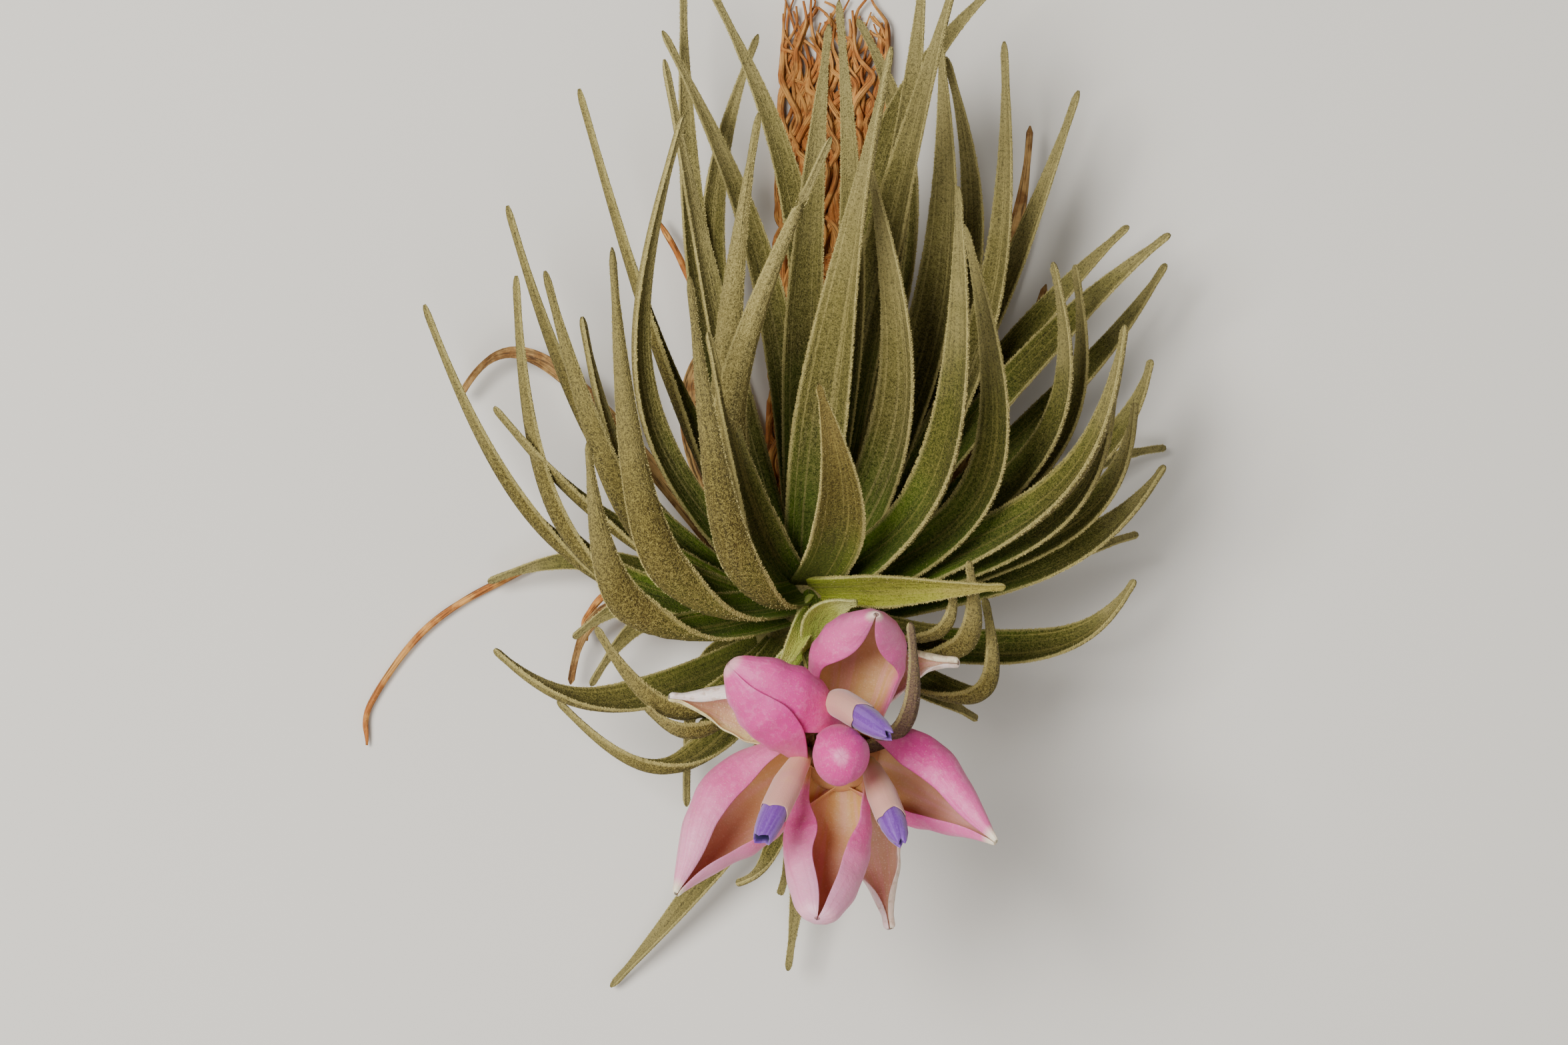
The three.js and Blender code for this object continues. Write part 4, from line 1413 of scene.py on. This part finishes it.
@dataclass(frozen=True)
class OldStem:
    """The brown stump, the bases of its shed leaves and a few dead leaves."""

    bottom: float = 4.5
    top: float = 8.3
    stump_rod: Rod = Rod(40, 12)
    bases: int = 22
    base_rod: Rod = Rod(12, 10)
    # How much higher than its seat the base of a shed leaf ends, and its width.
    base_rise: Span = (1.4, 2.4)
    base_width: Span = (2, 3)
    seed: int = 47
    blade: Rod = Rod(16, 28, 1.3)
    # Knee, tip and width of the dead leaves.
    dead_leaves: Sequence[tuple[Place, Place, float]] = (
        ((-33, 30, 6), (-41, 16, 3), 2.2),
        ((-16, 14, 5), (-9, 24, 5.5), 3),
        ((30, 30, 4), (31, 50, 6), 3),
        ((27, 12, 4), (33, 30, 6.5), 3),
        ((-25, -6, 5), (-27, -20.5, 3.5), 2.4),
    )
    # Thickness of the dead leaves at the base and at the tip.
    dead_thickness: Span = (0.8, 0.56)

    def build(self) -> None:
        """Builds the stump, the leaf bases and the dead leaves."""
        finish = FibreFinish("dead_leaf", rgb("7c5426"), rgb("b08a50"), rgb("38240e")).made()
        middle = (self.bottom + self.top) / 2
        foot, waist, head = ((*STUMP, level) for level in (self.bottom, middle, self.top))
        outline = ((0, STUMP_RADIUS * 0.94), (0.5, STUMP_RADIUS), (1, STUMP_RADIUS * 0.9))
        stump = Tube(spline((foot, waist, head)), outline, always(0, 1, 0), 0.05)
        draw = np.random.default_rng(self.seed)
        bases = [self.shed_leaf(number, draw) for number in range(self.bases)]
        dead = [Leaf(waist, width, knee, tip, 0, *self.dead_thickness, upwards, 0.12)
                for knee, tip, width in self.dead_leaves]
        for rod, shapes, marks, name in (
                (self.stump_rod, [stump], [{"seed": 0.1}], "old_stump"),
                (self.base_rod, bases, seeds(draw, bases), "shed_leaf_bases"),
                (self.blade, dead, seeds(draw, dead), "dead_leaves")):
            settle(rod.bend(shapes, marks, name), finish, "old_stem")

    def shed_leaf(self, number: int, draw: Draw) -> Leaf:
        """Makes the base of a shed leaf, pressed to the stump.

        Args:
            number: its number round the stump.
            draw: gives the random numbers.

        Returns:
            The leaf base.
        """
        low = mix(self.bottom, self.top, 0.15 + 0.5 * (number / self.bases))
        high = min(low + draw.uniform(*self.base_rise), self.top)
        base, knee, tip = (beside_stump(number, reach, level) for reach, level in (
            (STUMP_RADIUS * 0.7, low), (STUMP_RADIUS + 0.2, low), (STUMP_RADIUS + 0.1, high)))
        return Leaf(base, draw.uniform(*self.base_width), knee, tip, 0, 0.5, 0.4,
                    lambda point: array((*STUMP, 0)) - point * array((1, 1, 0)), 0.1)


@dataclass(frozen=True)
class RootMat:
    """The wiry roots: the flat mat, the crown under the old stem and the roots that leave it."""

    # Middle and half width of the mat at its low and high end.
    middle_x: Span = (2.4, 6.8)
    half_width: Span = (6.0, 7.2)
    low_y: float = -24.0
    high_y: float = 66.5
    layer_height: float = 2.1
    # How far the lowest strands are off the floor.
    clearance: float = 0.15
    strands: int = 62
    strand_radius: Span = (0.3, 0.62)
    strand_rod: Rod = Rod(8, 120)
    # How many places a strand is drawn through, how far it winds in radians, and how widely.
    knots: int = 48
    waves: Span = (18, 40)
    sway: Span = (0.7, 2.0)
    # Winding ahead, across and up and down: how steep it is beside the main wave, and how wide.
    ahead: Span = (1.3, 0.9)
    ripple: Span = (2.7, 0.5)
    climb: Span = (0.9, 0.4)
    # How draws crowd towards the ends of the mat.
    start_crowding: float = 2
    end_crowding: float = 0.3
    # Where a strand may start past the low end of the mat, and end past its high end.
    starts: Span = (1.0, 22.0)
    ends: Span = (-22.0, 0.8)
    crown_height: float = 4.2
    crown_strands: int = 40
    crown_rod: Rod = Rod(8, 14)
    # How far roots of the crown lean out at their waist and foot, and how unevenly they end.
    crown_lean: Span = (0.6, 1.6)
    crown_spread: float = 0.5
    free_radius: float = 0.5
    free_rod: Rod = Rod(10, 72)
    free_roots: Sequence[Sequence[Place]] = (
        ((2, -15, 2.4), (-14, -9, 1.6), (-27, -4.5, 0.9), (-37, -8, 0.8), (-46, -14, 0.8),
         (-52.5, -23, 0.8), (-53, -28.3, 0.8)),
        ((0, -15, 2.6), (-12, -10, 3), (-21, -8.5, 3.4), (-25, -12, 2.6), (-25, -15, 2)),
        ((2, -4, 2.6), (-4, 10, 3), (-9, 24, 3.6), (-13, 33, 3), (-16, 38.5, 2.4)),
    )
    seed: int = 83

    def strand(self, number: int, draw: Draw) -> Tube:
        """Makes a strand that winds along the mat, crossing over others.

        Args:
            number: its number across the mat.
            draw: gives the random numbers.

        Returns:
            The strand.
        """
        radius = draw.uniform(*self.strand_radius)
        lane = (number + 0.5) / self.strands * 2 - 1
        layer, phase = draw.random(), draw.uniform(0, 2 * math.pi)
        waves, sway = draw.uniform(*self.waves), draw.uniform(*self.sway)
        start = self.low_y + mix(*self.starts, draw.random() ** self.start_crowding)
        end = self.high_y + mix(*self.ends, draw.random() ** self.end_crowding)
        share = np.linspace(0, 1, self.knots)
        turn = phase + waves * share * (end - start) / (self.high_y - self.low_y)
        y = mix(start, end, share) + self.ahead[1] * sway * np.cos(turn * self.ahead[0])
        height = (y - self.low_y) / (self.high_y - self.low_y)
        half = mix(*self.half_width, height) - radius
        x = lane * half + sway * np.sin(turn) + self.ripple[1] * np.sin(turn * self.ripple[0] + phase)
        x = mix(*self.middle_x, height) + np.clip(x, -half, half)
        wave = 1 - self.climb[1] + self.climb[1] * np.sin(turn * self.climb[0] + 2)
        z = radius + self.clearance + self.layer_height * layer * wave
        outline = ((0, radius * 0.6), (0.06, radius), (0.85, radius * 0.85), (1, radius * 0.3))
        return Tube(spline(np.stack([x, y, z], axis=1)), outline, upwards, 0.12, phase)

    def crown_root(self, number: int, draw: Draw) -> Tube:
        """Makes a short root that drops from the old stem and spreads into the mat.

        Args:
            number: its number round the stem.
            draw: gives the random numbers.

        Returns:
            The root.
        """
        radius = draw.uniform(*self.strand_radius)
        near = STUMP_RADIUS * (0.3 + 0.6 * (number / self.crown_strands)) - radius
        far = min(near + self.crown_lean[1], STUMP_RADIUS + 0.2)
        top, waist, foot = (beside_stump(number, reach, level) for reach, level in (
            (near, self.crown_height - radius * 0.9), (near + self.crown_lean[0], self.crown_height / 2),
            (far, radius + 0.1)))
        foot[:2] += draw.normal(0, self.crown_spread), draw.normal(0, self.crown_spread)
        outline = ((0, radius * 0.8), (0.5, radius), (1, radius * 0.7))
        return Tube(spline((top, waist, foot)), outline, upwards, 0.1, number * NEXT_TURN)

    def build(self) -> None:
        """Builds the mat, the crown and the free roots, in the order of their random draws."""
        finish = FibreFinish("root", rgb("b0692a"), rgb("d79a4e"), rgb("54300f"), (3.0, 14.0)).made()
        draw = np.random.default_rng(self.seed)
        radius = self.free_radius
        outline = ((0, radius), (0.5, radius * 0.95), (0.92, radius * 0.75), (1, radius * 0.3))
        for rod, count, make, name in (
                (self.strand_rod, self.strands, self.strand, "root_mat"),
                (self.crown_rod, self.crown_strands, self.crown_root, "root_crown"),
                (self.free_rod, len(self.free_roots),
                 lambda i, _: Tube(spline(self.free_roots[i]), outline, upwards, 0.12, i), "free_roots")):
            shapes = [make(number, draw) for number in range(count)]
            settle(rod.bend(shapes, seeds(draw, shapes), name), finish, "roots")


@dataclass(frozen=True)
class Studio:
    """The camera, the pale floor and the soft lights."""

    camera_height: float = 0.6
    # The photograph is 2352 pixels wide, at 0.08 mm a pixel on a level 34 mm up.
    focus_height: float = 0.034
    view_width: float = 0.18816
    sensor: float = 36.0
    floor_side: float = 6.0
    floor_drop: float = 0.0001
    # Name, place, size and power of each soft light, and the place that all of them face.
    lights: Sequence[tuple[str, Place, float, float]] = (
        ("key", (-0.38, 0.14, 0.84), 0.44, 12.0),
        ("fill", (0.6, -0.2, 0.7), 0.8, 1.6),
        ("front", (-0.16, -0.4, 0.82), 0.6, 3.8),
    )
    aim: Place = (0, 0, 0.03)
    sky: Colour = (0.9, 0.88, 0.85, 1.0)
    sky_strength: float = 0.08

    def set_camera(self) -> None:
        """Sets the camera above the plant, looking straight down."""
        data = bpy.data.cameras.new("camera")
        data.sensor_width = self.sensor
        data.lens = self.sensor * (self.camera_height - self.focus_height) / self.view_width
        place = (-MIDDLE[0] * MM, -MIDDLE[1] * MM, self.camera_height)
        bpy.context.scene.camera = placed(data, place)

    def set_floor(self) -> None:
        """Lays the floor just under the plant."""
        bpy.ops.object.select_all(action="DESELECT")
        bpy.ops.mesh.primitive_plane_add(size=self.floor_side, location=(0, 0, -self.floor_drop))
        floor = bpy.context.object
        floor.name = "floor"
        floor.data.materials.append(FLOOR.made())

    def set_lights(self) -> None:
        """Hangs the lights and tints the sky."""
        for name, place, size, power in self.lights:
            data = bpy.data.lights.new(name, "AREA")
            data.shape, data.size, data.energy = "DISK", size, power
            lamp = placed(data, place)
            lamp.rotation_mode = "QUATERNION"
            lamp.rotation_quaternion = (Vector(self.aim) - Vector(place)).to_track_quat("-Z", "Y")
        world = bpy.data.worlds.new("sky")
        world.use_nodes = True
        background = world.node_tree.nodes["Background"].inputs
        background["Color"].default_value = self.sky
        background["Strength"].default_value = self.sky_strength
        bpy.context.scene.world = world


def main() -> None:
    """Builds the plant and its studio."""
    logging.basicConfig(level=logging.INFO, format="%(name)s %(message)s")
    studio = Studio()
    studio.set_camera()
    studio.set_floor()
    studio.set_lights()
    for assembly in (RootMat(), OldStem(), Rosette(), FlowerHead()):
        assembly.build()
    finish = CorollaFinish().made()
    for corolla in Corolla:
        corolla.build(finish)


if __name__ == "__main__":
    main()
